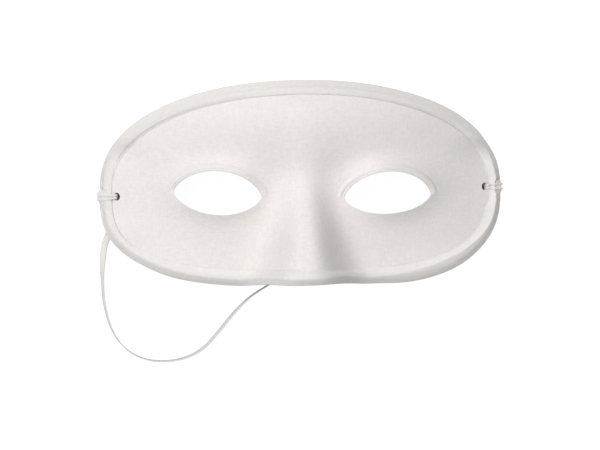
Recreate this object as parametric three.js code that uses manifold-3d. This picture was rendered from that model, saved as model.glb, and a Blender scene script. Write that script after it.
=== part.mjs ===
// Half mask of papier-mache: a thin moulded shell with two eye holes, a folded strip bound all round
// its edge, and a flat elastic looped and knotted through a small hole at each temple.
// Millimetres. +X is the viewer's right, +Y the forehead and +Z comes out of the face. The mask lies
// face up on its two temple ends at z = 0, with the elastic loose beside and under it.

import * as THREE from "three";
import { mergeVertices } from "three/addons/utils/BufferGeometryUtils.js";
import Module from "manifold-3d";

const wasm = await Module();
wasm.setup();

// Outline: two half superellipses that meet on the widest line
const OUTLINE = { halfWidth: 86.6, axisY: 0, top: 43.4, bottom: 43.1, topPower: 2.16, bottomPower: 3.2 };

// Moulded face, heights from the top of the wrap
const REST_HEIGHT = 34.7;
const WRAP_RADIUS = 130;
const ROLL = { y: -0.6, forehead: 296, cheek: 199 };
const FOREHEAD = { height: 8, y: 29, tall: 16.4, wide: 60 };
const BROW = { step: 5.9, y: 7.3, fade: 4.1, wide: 70, power: 4 };
const CHEEK = { height: 2.5, x: 38, y: -9.1, wide: 20, tall: 14 };
const CHEEK_FALL = { height: 4, y: -14.6, fade: 8, wide: 49 };
const NOSE = { height: 30, y: -13.7, fade: 9.5, bridge: 8.7, foot: 18.2, leftNarrower: 0.05 };
const NOSE_FLARE = { y: -6.6, round: 5, run: 38 };
const NOSE_POWER = { bridge: 2.1, foot: 2.75, y: -16, fade: 8 };
const EYE_BULGE = { height: 11.4, x: 35.2, y: -0.9, inner: 13.8, outer: 19.6, up: 9, down: 11.1, power: 2.4 };

// Eye holes: almonds, the outer corner a little higher than the inner, not quite alike
const EYE_HOLES = new Map([
  [-1, { x: 36.6, y: -4.3, half: 18.5, up: 9.9, down: 8.7, point: 1.3, tilt: 0.062 }],
  [1, { x: 35.6, y: -5.7, half: 18.6, up: 10.4, down: 7.5, point: 1.23, tilt: 0.038 }],
]);

// Rim: the edge is turned back, it lies flat at the temples, each cord loop pulls it out and up, and it
// bows up a little over the elastic
const SHELL_WALL = 1.2;
const SHELL_INSET = 1;
const RIM_TURN = { width: 4.2, round: 1.4, top: 0.7, bottom: 1.25, end: 0.05, fade: 3 };
const REST_FLAT = { y: -1.1, up: 10, down: 11, fadeUp: 12, fadeDown: 5, fromX: 60, toX: 82 };
const TIE_PULL = { lift: 1.6, out: 0.5, half: 2.6, fade: 2.4, depth: 3.2 };
const RIM_BOW = { y: -20, lift: 1.1, half: 2, fade: 6.5, fromX: -62, toX: -82 };

// Binding strip: a folded U over the shell's edge, crowned on the front
const CLEARANCE = 0.3;
const STRIP = { inner: 0.3, crest: 1, outer: 0.8, back: 0.5, edge: 0.8, reach: 5.6, midReach: 2.9 };
const FOOT_TRIM_BOX = { x: 220, y: 140, z: 20 };

// Cord holes and tied loops at the two temples
const TEMPLES = [
  { name: "left_knot", side: -1, y: -4.9 },
  { name: "right_knot", side: 1, y: -2.1 },
];
const CORD_HOLE = { radius: 1.7, reach: 7.5, cutLength: 9, sides: 16 };
const LOOP = { width: 3.6, inHole: 2.1, thick: 0.6, groove: 0.2, strand: 0.55, shoulder: 0.5 };
const LOOP_PATH = { holeReach: 6.9, inHole: 0.5, lipReach: 6.4, lip: 1, ease: 0.2, corner: 0.8, slack: 0.3 };
const KNOT = { reach: 7.6, behind: 1.9, radius: 1.6, stretch: 1.3, around: 8, rows: 6 };

// Free elastic: an eight-sided flat tube lying on the surface
const ELASTIC = { width: 2.8, thick: 0.7, steps: 44 };
const ELASTIC_ROUTE = [
  [-76.9, -7.6, 4.4],
  [-77.0, -9.3, 3.3],
  [-77.6, -11.5, 1.8],
  [-79.0, -14.8, 0.8],
  [-81.1, -18.3, 0.48],
  [-83.2, -21.6, 0.48],
  [-84.5, -25.0, 0.46],
  [-85.2, -28.4, 0.5],
  [-85.8, -35.4, 0.5],
  [-85.7, -43.0, 0.5],
  [-85.1, -50.8, 0.5],
  [-83.1, -59.1, 0.5],
  [-79.7, -66.2, 0.5],
  [-74.6, -71.6, 0.5],
  [-68.0, -74.9, 0.5],
  [-60.8, -76.0, 0.5],
  [-53.1, -75.3, 0.5],
  [-47.4, -73.4, 0.5],
  [-42.0, -69.9, 0.5],
  [-36.3, -63.8, 0.5],
  [-29.4, -55.6, 0.5],
  [-23.0, -49.4, 0.5],
  [-14.8, -44.0, 0.5],
  [-4.0, -38.6, 0.5],
  [8.0, -33.4, 0.5],
  [21.0, -28.4, 0.5],
  [35.0, -23.8, 0.5],
  [49.0, -19.0, 0.5],
  [61.0, -14.2, 0.5],
  [69.2, -10.2, 0.8],
  [73.6, -7.5, 1.8],
  [76.0, -5.2, 3.8],
];

// Mesh counts
const RIM_STEPS = { below: 21, above: 23 };
const OUTLINE_STEPS = 2000;
const NOSE_STEPS = 18;
const FACE_RINGS = 8;
const FACE_RING_POWER = 1.2;
const RIM_RINGS = [SHELL_INSET, STRIP.midReach, STRIP.reach];

const PAPER = { color: 0xefebe8, roughness: 0.86, metalness: 0 };
const STRIP_CLOTH = { color: 0xe8e4e1, roughness: 0.8, metalness: 0 };
const ELASTIC_CLOTH = { color: 0xe2e1dc, roughness: 0.7, metalness: 0 };

// Small lengths: between the points that give a slope, and under which two corners are one
const SLOPE_STEP = 0.05;
const EDGE_STEP = 0.6;
const SAME = 1e-4;

const fall = (t) => Math.exp(-(t ** 2));
const rise = (t) => 1 / (1 + Math.exp(-t));

function smoothStep(from, to, value) {
  const t = Math.min(1, Math.max(0, (value - from) / (to - from)));
  return t * t * (3 - 2 * t);
}

// The moulded face before its rim is worked: wrap, forehead, brow, cheeks, eye bulges and nose
function mouldHeight(x, y) {
  const ax = Math.abs(x);
  const dy = y - ROLL.y;
  let z = Math.sqrt(WRAP_RADIUS ** 2 - x * x) - WRAP_RADIUS;
  z -= dy ** 2 / (2 * (dy > 0 ? ROLL.forehead : ROLL.cheek));
  z += FOREHEAD.height * fall((y - FOREHEAD.y) / FOREHEAD.tall) * fall(x / FOREHEAD.wide);
  z -= BROW.step * rise((BROW.y - y) / BROW.fade) * Math.exp(-((ax / BROW.wide) ** BROW.power));
  z += CHEEK.height * fall((y - CHEEK.y) / CHEEK.tall) * fall((ax - CHEEK.x) / CHEEK.wide);
  z -= CHEEK_FALL.height * rise((CHEEK_FALL.y - y) / CHEEK_FALL.fade) * fall(x / CHEEK_FALL.wide);
  const u = (ax - EYE_BULGE.x) / (ax > EYE_BULGE.x ? EYE_BULGE.outer : EYE_BULGE.inner);
  const v = (y - EYE_BULGE.y) / (y > EYE_BULGE.y ? EYE_BULGE.up : EYE_BULGE.down);
  z += EYE_BULGE.height * Math.exp(-(Math.hypot(u, v) ** EYE_BULGE.power));
  const down = NOSE_FLARE.y - y;
  const flare = (down + Math.hypot(down, NOSE_FLARE.round)) / (2 * NOSE_FLARE.run);
  const narrower = x < 0 ? 1 - NOSE.leftNarrower : 1;
  const halfWidth = narrower * (NOSE.bridge + (NOSE.foot - NOSE.bridge) * flare);
  const footward = rise((NOSE_POWER.y - y) / NOSE_POWER.fade);
  const power = NOSE_POWER.bridge + (NOSE_POWER.foot - NOSE_POWER.bridge) * footward;
  z += NOSE.height * rise((NOSE.y - y) / NOSE.fade) * Math.exp(-((ax / halfWidth) ** power));
  return REST_HEIGHT + z;
}

// Distance in from the outline, and the outward direction there, from the superellipse's level lines
function rimPlace(x, y) {
  const dy = y - OUTLINE.axisY;
  const power = dy > 0 ? OUTLINE.topPower : OUTLINE.bottomPower;
  const px = Math.abs(x) / OUTLINE.halfWidth;
  const py = Math.abs(dy) / (dy > 0 ? OUTLINE.top : OUTLINE.bottom);
  const level = Math.max(1e-6, (px ** power + py ** power) ** (1 / power));
  const gx = (px / level) ** (power - 1) / OUTLINE.halfWidth;
  const gy = (py / level) ** (power - 1) / (dy > 0 ? OUTLINE.top : OUTLINE.bottom);
  const slope = Math.hypot(gx, gy);
  return { depth: (1 - level) / slope, outX: gx / slope, outY: (Math.sign(dy) * gy) / slope };
}

// Half width of the outline at a height y
function outlineX(y) {
  const dy = y - OUTLINE.axisY;
  const power = dy > 0 ? OUTLINE.topPower : OUTLINE.bottomPower;
  const part = Math.abs(dy) / (dy > 0 ? OUTLINE.top : OUTLINE.bottom);
  return OUTLINE.halfWidth * Math.max(0, 1 - part ** power) ** (1 / power);
}

// Height of the mould at the outline, and how far it stands there above the middle of the rest flat
const edgeHeight = (y) => mouldHeight(outlineX(y), y);
const edgeRise = (y) => edgeHeight(y) - edgeHeight(REST_FLAT.y);

// One point of the finished front face
function facePoint(x, y) {
  const rim = rimPlace(x, y);
  const turn = RIM_TURN.width - rim.depth;
  const outward = rim.outY > 0 ? RIM_TURN.top : RIM_TURN.bottom;
  const bend = RIM_TURN.end * rim.outX ** 2 + outward * Math.abs(rim.outY) ** RIM_TURN.fade;
  let z = mouldHeight(x, y);
  if (turn > 0) {
    z -= bend * (Math.hypot(turn, RIM_TURN.round) - RIM_TURN.round);
  }
  const off = y - REST_FLAT.y;
  const [flatHalf, fade] = off > 0 ? [REST_FLAT.up, REST_FLAT.fadeUp] : [REST_FLAT.down, REST_FLAT.fadeDown];
  const flat = 1 - smoothStep(flatHalf, flatHalf + fade, Math.abs(off));
  if (flat > 0) {
    z -= flat * smoothStep(REST_FLAT.fromX, REST_FLAT.toX, Math.abs(x)) * edgeRise(y);
  }
  if (x < 0) {
    const beside = smoothStep(RIM_BOW.half, RIM_BOW.half + RIM_BOW.fade, Math.abs(y - RIM_BOW.y));
    z += RIM_BOW.lift * (1 - beside) * smoothStep(RIM_BOW.fromX, RIM_BOW.toX, x);
  }
  const side = Math.sign(x);
  let pull = 0;
  for (const temple of TEMPLES) {
    if (temple.side === side) {
      const beside = Math.abs(y - temple.y);
      pull = 1 - smoothStep(TIE_PULL.half, TIE_PULL.half + TIE_PULL.fade, beside);
    }
  }
  pull *= 1 - smoothStep(SHELL_INSET, SHELL_INSET + TIE_PULL.depth, rim.depth);
  return new THREE.Vector3(x + side * TIE_PULL.out * pull, y, z + TIE_PULL.lift * pull);
}

// Outward normal of the front face
function faceNormal(x, y) {
  const alongX = facePoint(x + SLOPE_STEP, y).sub(facePoint(x - SLOPE_STEP, y));
  const alongY = facePoint(x, y + SLOPE_STEP).sub(facePoint(x, y - SLOPE_STEP));
  return alongX.cross(alongY).normalize();
}

// A point at a height along the normal: 0 on the front face, minus the wall on the back
function layerPoint(x, y, height) {
  return facePoint(x, y).addScaledVector(faceNormal(x, y), height);
}

// Stations up one half of the outline, bottom centre to top centre: close together where the rim is
// pulled out under the cord loop, evenly spread below and above it
function rimStations(temple) {
  const fine = [];
  const count = OUTLINE_STEPS;
  for (let i = 0; i <= count; i += 1) {
    const angle = -Math.PI / 2 + (Math.PI * i) / count;
    const upper = angle > 0;
    const power = 2 / (upper ? OUTLINE.topPower : OUTLINE.bottomPower);
    const x = OUTLINE.halfWidth * Math.max(0, Math.cos(angle)) ** power;
    const reach = upper ? OUTLINE.top : OUTLINE.bottom;
    const y = OUTLINE.axisY + reach * Math.sign(angle) * Math.abs(Math.sin(angle)) ** power;
    fine.push(new THREE.Vector2(i === 0 || i === count ? 0 : x, y));
  }
  const run = [0];
  for (let i = 1; i <= count; i += 1) {
    run.push(run[i - 1] + fine[i].distanceTo(fine[i - 1]));
  }
  const runAt = (y) => run[fine.findIndex((point) => point.y > y)];
  const reach = TIE_PULL.half + TIE_PULL.fade;
  const close = [-reach, -TIE_PULL.half, 0, TIE_PULL.half, reach].map((off) => runAt(temple.y + off));
  const wanted = [];
  for (let k = 0; k < RIM_STEPS.below; k += 1) {
    wanted.push((close[0] * k) / RIM_STEPS.below);
  }
  wanted.push(...close);
  const last = close[close.length - 1];
  for (let k = 1; k <= RIM_STEPS.above; k += 1) {
    wanted.push(last + ((run[count] - last) * k) / RIM_STEPS.above);
  }
  return wanted.map((want, k) => {
    const j = Math.max(1, run.findIndex((length) => length >= want - 1e-9));
    const point = fine[j - 1].clone().lerp(fine[j], (want - run[j - 1]) / (run[j] - run[j - 1]));
    const place = rimPlace(point.x, point.y);
    const onCentre = k === 0 || k === wanted.length - 1;
    return {
      x: onCentre ? 0 : point.x,
      y: point.y,
      outX: onCentre ? 0 : place.outX,
      outY: onCentre ? Math.sign(place.outY) : place.outY,
    };
  });
}

// A place in the plan, some way in from a station, on the right or the left half
function planPlace(station, inset, side) {
  return { x: side * (station.x - inset * station.outX), y: station.y - inset * station.outY };
}

// The place on an eye hole's edge that lies the way of a place further out
function eyeHolePlace(place, side) {
  const { x, y, half, up, down, point, tilt } = EYE_HOLES.get(side);
  const angle = Math.atan2(place.y - y, side * place.x - x);
  const across = half * Math.cos(angle);
  const sine = Math.sin(angle);
  const along = (sine > 0 ? up : down) * Math.sign(sine) * Math.abs(sine) ** point;
  return { x: side * (x + across), y: y + along + tilt * across };
}

// A plan of shared corner places and triangles, turned into a sheet with a true wall
class SheetPlan {
  constructor() {
    this.places = [];
    this.known = new Map();
    this.triangles = [];
  }

  corner(place) {
    const key = `${place.x.toFixed(4)},${place.y.toFixed(4)}`;
    if (!this.known.has(key)) {
      this.known.set(key, this.places.length);
      this.places.push(place);
    }
    return this.known.get(key);
  }

  // Two triangles, turned so that both face the front
  quad(a, b, c, d) {
    for (const corners of [[a, b, c], [a, c, d]]) {
      const [i, j, k] = corners.map((place) => this.corner(place));
      if (i === j || j === k || i === k) {
        continue;
      }
      const [p, q, r] = [i, j, k].map((index) => this.places[index]);
      const area = (q.x - p.x) * (r.y - p.y) - (r.x - p.x) * (q.y - p.y);
      this.triangles.push(area > 0 ? [i, j, k] : [i, k, j]);
    }
  }

  strips(rows, closed) {
    for (let r = 0; r + 1 < rows.length; r += 1) {
      const count = rows[r].length;
      for (let k = 0; k < (closed ? count : count - 1); k += 1) {
        const next = (k + 1) % count;
        this.quad(rows[r][k], rows[r][next], rows[r + 1][next], rows[r + 1][k]);
      }
    }
  }

  // Front face, back face and the edge walls between them
  solidSheet(wall) {
    const count = this.places.length;
    const front = this.places.map((place) => layerPoint(place.x, place.y, 0));
    const back = this.places.map((place) => layerPoint(place.x, place.y, -wall));
    const faces = [];
    const edges = new Map();
    for (const [i, j, k] of this.triangles) {
      faces.push([i, j, k], [i + count, k + count, j + count]);
      for (const [from, to] of [[i, j], [j, k], [k, i]]) {
        edges.set(`${from},${to}`, [from, to]);
      }
    }
    for (const [from, to] of edges.values()) {
      if (!edges.has(`${to},${from}`)) {
        faces.push([to, from, from + count], [to, from + count, to + count]);
      }
    }
    return indexedGeometry([...front, ...back], faces);
  }
}

function indexedGeometry(points, faces) {
  const geometry = new THREE.BufferGeometry();
  const numbers = points.flatMap((point) => [point.x, point.y, point.z]);
  geometry.setAttribute("position", new THREE.Float32BufferAttribute(numbers, 3));
  geometry.setIndex(faces.flat());
  return geometry;
}

// A closed ring through closed sections with the same number of corners each; the quads that start at
// a corner listed in turned are split along their other diagonal
function ringGeometry(sections, turned = []) {
  const corners = sections[0].length;
  const faces = [];
  let volume = 0;
  for (let s = 0; s < sections.length; s += 1) {
    const t = (s + 1) % sections.length;
    for (let c = 0; c < corners; c += 1) {
      const d = (c + 1) % corners;
      const quad = [s * corners + c, t * corners + c, t * corners + d, s * corners + d];
      if (turned.includes(c)) {
        quad.push(quad.shift());
      }
      faces.push([quad[0], quad[1], quad[2]], [quad[0], quad[2], quad[3]]);
    }
  }
  const points = sections.flat();
  for (const [i, j, k] of faces) {
    volume += points[i].dot(points[j].clone().cross(points[k]));
  }
  const outward = volume > 0 ? faces : faces.map(([i, j, k]) => [i, k, j]);
  return indexedGeometry(points, outward);
}

function toSolid(geometry) {
  const bare = geometry.clone();
  bare.deleteAttribute("normal");
  bare.deleteAttribute("uv");
  const merged = mergeVertices(bare, SAME);
  const vertProperties = new Float32Array(merged.attributes.position.array);
  const triVerts = new Uint32Array(merged.index.array);
  return new wasm.Manifold(new wasm.Mesh({ numProp: 3, vertProperties, triVerts }));
}

function fromSolid(solid) {
  const mesh = solid.getMesh();
  const geometry = new THREE.BufferGeometry();
  geometry.setAttribute("position", new THREE.Float32BufferAttribute(mesh.vertProperties, 3));
  geometry.setIndex(new THREE.Uint32BufferAttribute(mesh.triVerts, 1));
  return geometry;
}

// One half of the shell's plan: a band along the rim, and rings between the band and the eye hole
function addHalfFace(plan, temple) {
  const { side } = temple;
  const stations = rimStations(temple);
  const along = side > 0 ? stations : [...stations].reverse();
  plan.strips(RIM_RINGS.map((inset) => along.map((station) => planPlace(station, inset, side))), false);
  const outer = stations.map((station) => planPlace(station, STRIP.reach, side));
  const bottom = outer[0];
  const top = outer[outer.length - 1];
  for (let k = 1; k < NOSE_STEPS; k += 1) {
    outer.push({ x: 0, y: top.y + ((bottom.y - top.y) * k) / NOSE_STEPS });
  }
  const inner = outer.map((place) => eyeHolePlace(place, side));
  const rings = [];
  for (let r = 0; r < FACE_RINGS; r += 1) {
    const part = (r / FACE_RINGS) ** FACE_RING_POWER;
    rings.push(outer.map((place, k) => ({
      x: inner[k].x + (place.x - inner[k].x) * part,
      y: inner[k].y + (place.y - inner[k].y) * part,
    })));
  }
  rings.push(outer);
  plan.strips(rings, true);
}

function cordHoleCutter(temple) {
  const x = temple.side * (outlineX(temple.y) - CORD_HOLE.reach);
  const axis = faceNormal(x, temple.y);
  const { radius, cutLength, sides } = CORD_HOLE;
  const cutter = new THREE.CylinderGeometry(radius, radius, cutLength, sides);
  cutter.applyQuaternion(new THREE.Quaternion().setFromUnitVectors(new THREE.Vector3(0, 1, 0), axis));
  const centre = layerPoint(x, temple.y, -SHELL_WALL / 2);
  cutter.translate(centre.x, centre.y, centre.z);
  return toSolid(cutter);
}

function maskShell() {
  const plan = new SheetPlan();
  for (const temple of TEMPLES) {
    addHalfFace(plan, temple);
  }
  let solid = toSolid(plan.solidSheet(SHELL_WALL));
  for (const temple of TEMPLES) {
    solid = solid.subtract(cordHoleCutter(temple));
  }
  return fromSolid(solid);
}

// The shell's edge at a place of the plan: its two corners, the normal and the way out
function edgeFrame(place, further) {
  const normal = faceNormal(place.x, place.y);
  const front = facePoint(place.x, place.y);
  const out = front.clone().sub(facePoint(further.x, further.y));
  out.addScaledVector(normal, -out.dot(normal)).normalize();
  return { front, back: front.clone().addScaledVector(normal, -SHELL_WALL), normal, out };
}

const offset = (point, frame, normalWay, outWay) =>
  point.clone().addScaledVector(frame.normal, normalWay).addScaledVector(frame.out, outWay);

// The binding's folded section at a rim station, outer side first
function bindingSection(station, side) {
  const at = (inset, height) => {
    const place = planPlace(station, inset, side);
    return layerPoint(place.x, place.y, height);
  };
  const further = planPlace(station, SHELL_INSET + EDGE_STEP, side);
  const frame = edgeFrame(planPlace(station, SHELL_INSET, side), further);
  const back = -(SHELL_WALL + CLEARANCE + STRIP.back);
  const edge = CLEARANCE + STRIP.edge;
  return [
    at(STRIP.reach, CLEARANCE + STRIP.inner),
    at(STRIP.midReach, CLEARANCE + STRIP.crest),
    at(SHELL_INSET, CLEARANCE + STRIP.outer),
    offset(frame.front, frame, CLEARANCE, edge),
    offset(frame.back, frame, -(CLEARANCE + STRIP.back), edge),
    at(STRIP.midReach, back),
    at(STRIP.reach, back),
    at(STRIP.reach, back + STRIP.back),
    at(STRIP.midReach, back + STRIP.back),
    offset(frame.back, frame, -CLEARANCE, CLEARANCE),
    offset(frame.front, frame, CLEARANCE, CLEARANCE),
    at(STRIP.midReach, CLEARANCE),
    at(STRIP.reach, CLEARANCE),
  ];
}

// The quads of the binding that lie on the shell's back follow the shell's own diagonals
const BINDING_BACK_QUADS = [7, 8];

function edgeBinding() {
  const [left, right] = TEMPLES.map((temple) =>
    rimStations(temple).map((station) => bindingSection(station, temple.side)));
  const sections = [...right, ...left.slice(1, -1).reverse()];
  const floor = new THREE.BoxGeometry(FOOT_TRIM_BOX.x, FOOT_TRIM_BOX.y, FOOT_TRIM_BOX.z);
  floor.translate(0, 0, -FOOT_TRIM_BOX.z / 2);
  return fromSolid(toSolid(ringGeometry(sections, BINDING_BACK_QUADS)).subtract(toSolid(floor)));
}

// The elastic's loop: up through the hole, over the binding, round the edge and back behind it
function loopPath(temple) {
  const edgeX = outlineX(temple.y);
  const half = LOOP.thick / 2;
  const over = (thick) => 2 * CLEARANCE + thick + half;
  const under = -(SHELL_WALL + 2 * CLEARANCE + STRIP.back + LOOP_PATH.slack + half);
  const outside = 2 * CLEARANCE + STRIP.edge + half;
  const { holeReach, inHole, lipReach, lip, ease, corner } = LOOP_PATH;
  const at = (inset, height) => layerPoint(temple.side * (edgeX - inset), temple.y, height);
  const edge = (inset) => ({ x: temple.side * (edgeX - inset), y: temple.y });
  const frame = edgeFrame(edge(SHELL_INSET), edge(SHELL_INSET + EDGE_STEP));
  return [
    at(holeReach, -SHELL_WALL / 2),
    at(holeReach, inHole),
    at(lipReach, lip),
    at(STRIP.reach + ease, over(STRIP.inner)),
    at(STRIP.midReach, over(STRIP.crest)),
    at(SHELL_INSET, over(STRIP.outer)),
    offset(frame.front, frame, CLEARANCE + corner, outside - ease),
    offset(frame.front, frame, -SHELL_WALL / 2, outside),
    offset(frame.back, frame, -(CLEARANCE + STRIP.back + corner), outside - ease),
    at(SHELL_INSET + 2 * ease, under),
    at(STRIP.midReach, under),
    at(STRIP.reach + ease, under),
    at(lipReach, -SHELL_WALL - lip),
    at(holeReach, -SHELL_WALL - inHole),
  ];
}

// The loop's sections: two strands side by side with a groove between them, narrower in the hole
function loopSections(temple) {
  const path = loopPath(temple);
  const half = LOOP.thick / 2;
  const count = path.length;
  const widths = path.map((_, i) => (i < 2 || i === count - 1 ? LOOP.inHole : LOOP.width));
  widths[2] = (LOOP.inHole + LOOP.width) / 2;
  widths[count - 2] = widths[2];
  const centre = path.reduce((sum, point) => sum.add(point), new THREE.Vector3()).divideScalar(count);
  return path.map((point, i) => {
    const along = path[(i + 1) % count].clone().sub(path[(i + count - 1) % count]).setY(0).normalize();
    const outer = new THREE.Vector3(-along.z, 0, along.x);
    if (outer.dot(point.clone().sub(centre)) < 0) {
      outer.negate();
    }
    const corner = (acrossPart, outPart) => {
      const moved = point.clone().addScaledVector(outer, outPart);
      moved.y = temple.y + (acrossPart * widths[i]) / 2;
      return moved;
    };
    return [
      corner(-1, -half),
      corner(-1, half * LOOP.shoulder),
      corner(-LOOP.strand, half),
      corner(0, half - LOOP.groove),
      corner(LOOP.strand, half),
      corner(1, half * LOOP.shoulder),
      corner(1, -half),
    ];
  });
}

function tiedLoop(temple) {
  const knot = new THREE.SphereGeometry(KNOT.radius, KNOT.around, KNOT.rows);
  knot.scale(1, KNOT.stretch, 1);
  const x = temple.side * (outlineX(temple.y) - KNOT.reach);
  const centre = layerPoint(x, temple.y, -SHELL_WALL - KNOT.behind);
  knot.translate(centre.x, centre.y, centre.z);
  return fromSolid(toSolid(ringGeometry(loopSections(temple))).add(toSolid(knot)));
}

function elasticCord() {
  const points = ELASTIC_ROUTE.map(([x, y, z]) => new THREE.Vector3(x, y, z));
  const route = new THREE.CatmullRomCurve3(points, false, "centripetal");
  const section = new THREE.Shape();
  for (let i = 0; i < 8; i += 1) {
    const angle = ((i + 0.5) * Math.PI) / 4;
    const flat = 1 / Math.cos(Math.PI / 8);
    const thickWay = (ELASTIC.thick / 2) * flat * Math.sin(angle);
    const wideWay = (ELASTIC.width / 2) * flat * Math.cos(angle);
    if (i === 0) {
      section.moveTo(wideWay, thickWay);
    } else {
      section.lineTo(wideWay, thickWay);
    }
  }
  section.closePath();
  return new THREE.ExtrudeGeometry(section, { steps: ELASTIC.steps, extrudePath: route, curveSegments: 1 });
}

function part(name, geometry, look) {
  const mesh = new THREE.Mesh(geometry, new THREE.MeshStandardMaterial(look));
  mesh.name = name;
  return mesh;
}

const mask = new THREE.Group();
mask.add(part("mask_shell", maskShell(), PAPER));
mask.add(part("edge_binding", edgeBinding(), STRIP_CLOTH));
for (const temple of TEMPLES) {
  mask.add(part(temple.name, tiedLoop(temple), ELASTIC_CLOTH));
}
mask.add(part("elastic_cord", elasticCord(), ELASTIC_CLOTH));

export default mask;
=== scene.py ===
"""Papier-mache half mask with a bound edge and a tied elastic, lying face up.

The visible surfaces are worked out in millimetres from the mask's driving sizes and written to
their meshes in metres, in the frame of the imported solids: +X is the viewer's right, +Y the forehead
and +Z comes out of the face.
"""

import logging
import math
from dataclasses import dataclass, field
from enum import Enum

import bmesh
import bpy
import numpy as np
from mathutils import Matrix, Vector


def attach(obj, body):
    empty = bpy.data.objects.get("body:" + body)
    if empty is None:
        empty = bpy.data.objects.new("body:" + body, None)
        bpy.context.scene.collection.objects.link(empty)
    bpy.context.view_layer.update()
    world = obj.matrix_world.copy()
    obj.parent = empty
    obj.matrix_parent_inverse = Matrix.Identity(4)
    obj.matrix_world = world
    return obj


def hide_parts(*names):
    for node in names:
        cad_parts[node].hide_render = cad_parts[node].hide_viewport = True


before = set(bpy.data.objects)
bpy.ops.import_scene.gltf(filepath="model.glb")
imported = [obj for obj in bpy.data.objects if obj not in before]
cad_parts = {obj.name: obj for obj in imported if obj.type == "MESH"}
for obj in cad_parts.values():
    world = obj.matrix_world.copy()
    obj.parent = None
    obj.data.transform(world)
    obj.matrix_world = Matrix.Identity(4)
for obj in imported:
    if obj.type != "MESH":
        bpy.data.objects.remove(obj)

LOG = logging.getLogger("half_mask")
MM = 0.001
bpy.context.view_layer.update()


class Side(Enum):
    """The two temple ends, as the sign of X."""

    LEFT = -1
    RIGHT = 1


class Face(Enum):
    """The two finishes of the shell, as its material slots."""

    FRONT = 0
    BACK = 1


def fall(t: np.ndarray) -> np.ndarray:
    """A bell that is 1 at 0 and falls away as exp(-t squared)."""
    return np.exp(-np.square(t))


def rise(t: np.ndarray) -> np.ndarray:
    """The logistic step from 0 to 1, one half at 0."""
    return 1.0 / (1.0 + np.exp(-t))


def smooth_step(low: float, high: float, value: np.ndarray) -> np.ndarray:
    """The cubic step 3t^2 - 2t^3, where t runs from 0 at low to 1 at high."""
    t = np.clip((value - low) / (high - low), 0.0, 1.0)
    return t * t * (3.0 - 2.0 * t)


def unit(vectors: np.ndarray) -> np.ndarray:
    """Vectors divided by their own lengths."""
    return vectors / np.linalg.norm(vectors, axis=-1, keepdims=True)


def square_to(axis: np.ndarray, vectors: np.ndarray) -> np.ndarray:
    """The parts of vectors that are square to an axis of length 1, each brought to length 1."""
    return unit(vectors - axis * np.sum(vectors * axis, axis=-1, keepdims=True))


def run_along(places: np.ndarray) -> np.ndarray:
    """The run along a path up to each of its places, with 0 at the first."""
    return np.concatenate(([0.0], np.cumsum(np.linalg.norm(np.diff(places, axis=0), axis=-1))))


def ring_tangent(path: np.ndarray) -> np.ndarray:
    """The direction of a closed path at each of its places."""
    return unit(np.roll(path, -1, axis=0) - np.roll(path, 1, axis=0))


@dataclass(frozen=True)
class Ripples:
    """A soft unevenness: sine waves with seeded directions, lengths and phases, in mm.

    Their sum over the square root of their count is about -1 to 1, and is brought to the height.
    """

    height: float
    seed: int
    count: int
    shortest: float
    longest: float

    def at(self, *places: np.ndarray) -> np.ndarray:
        """Height that the waves add at places, the same in every run.

        Args:
            places: One array for each axis, in mm.

        Returns:
            The heights, in mm.
        """
        rng = np.random.default_rng(self.seed)
        total = np.zeros(np.broadcast(*places).shape)
        for _ in range(self.count):
            way = unit(rng.normal(size=len(places)))
            length = rng.uniform(self.shortest, self.longest)
            phase = rng.uniform(0.0, math.tau)
            run = sum(part * axis for part, axis in zip(way, places))
            total = total + np.sin(math.tau * run / length + phase)
        return self.height * (total / math.sqrt(self.count))


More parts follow.
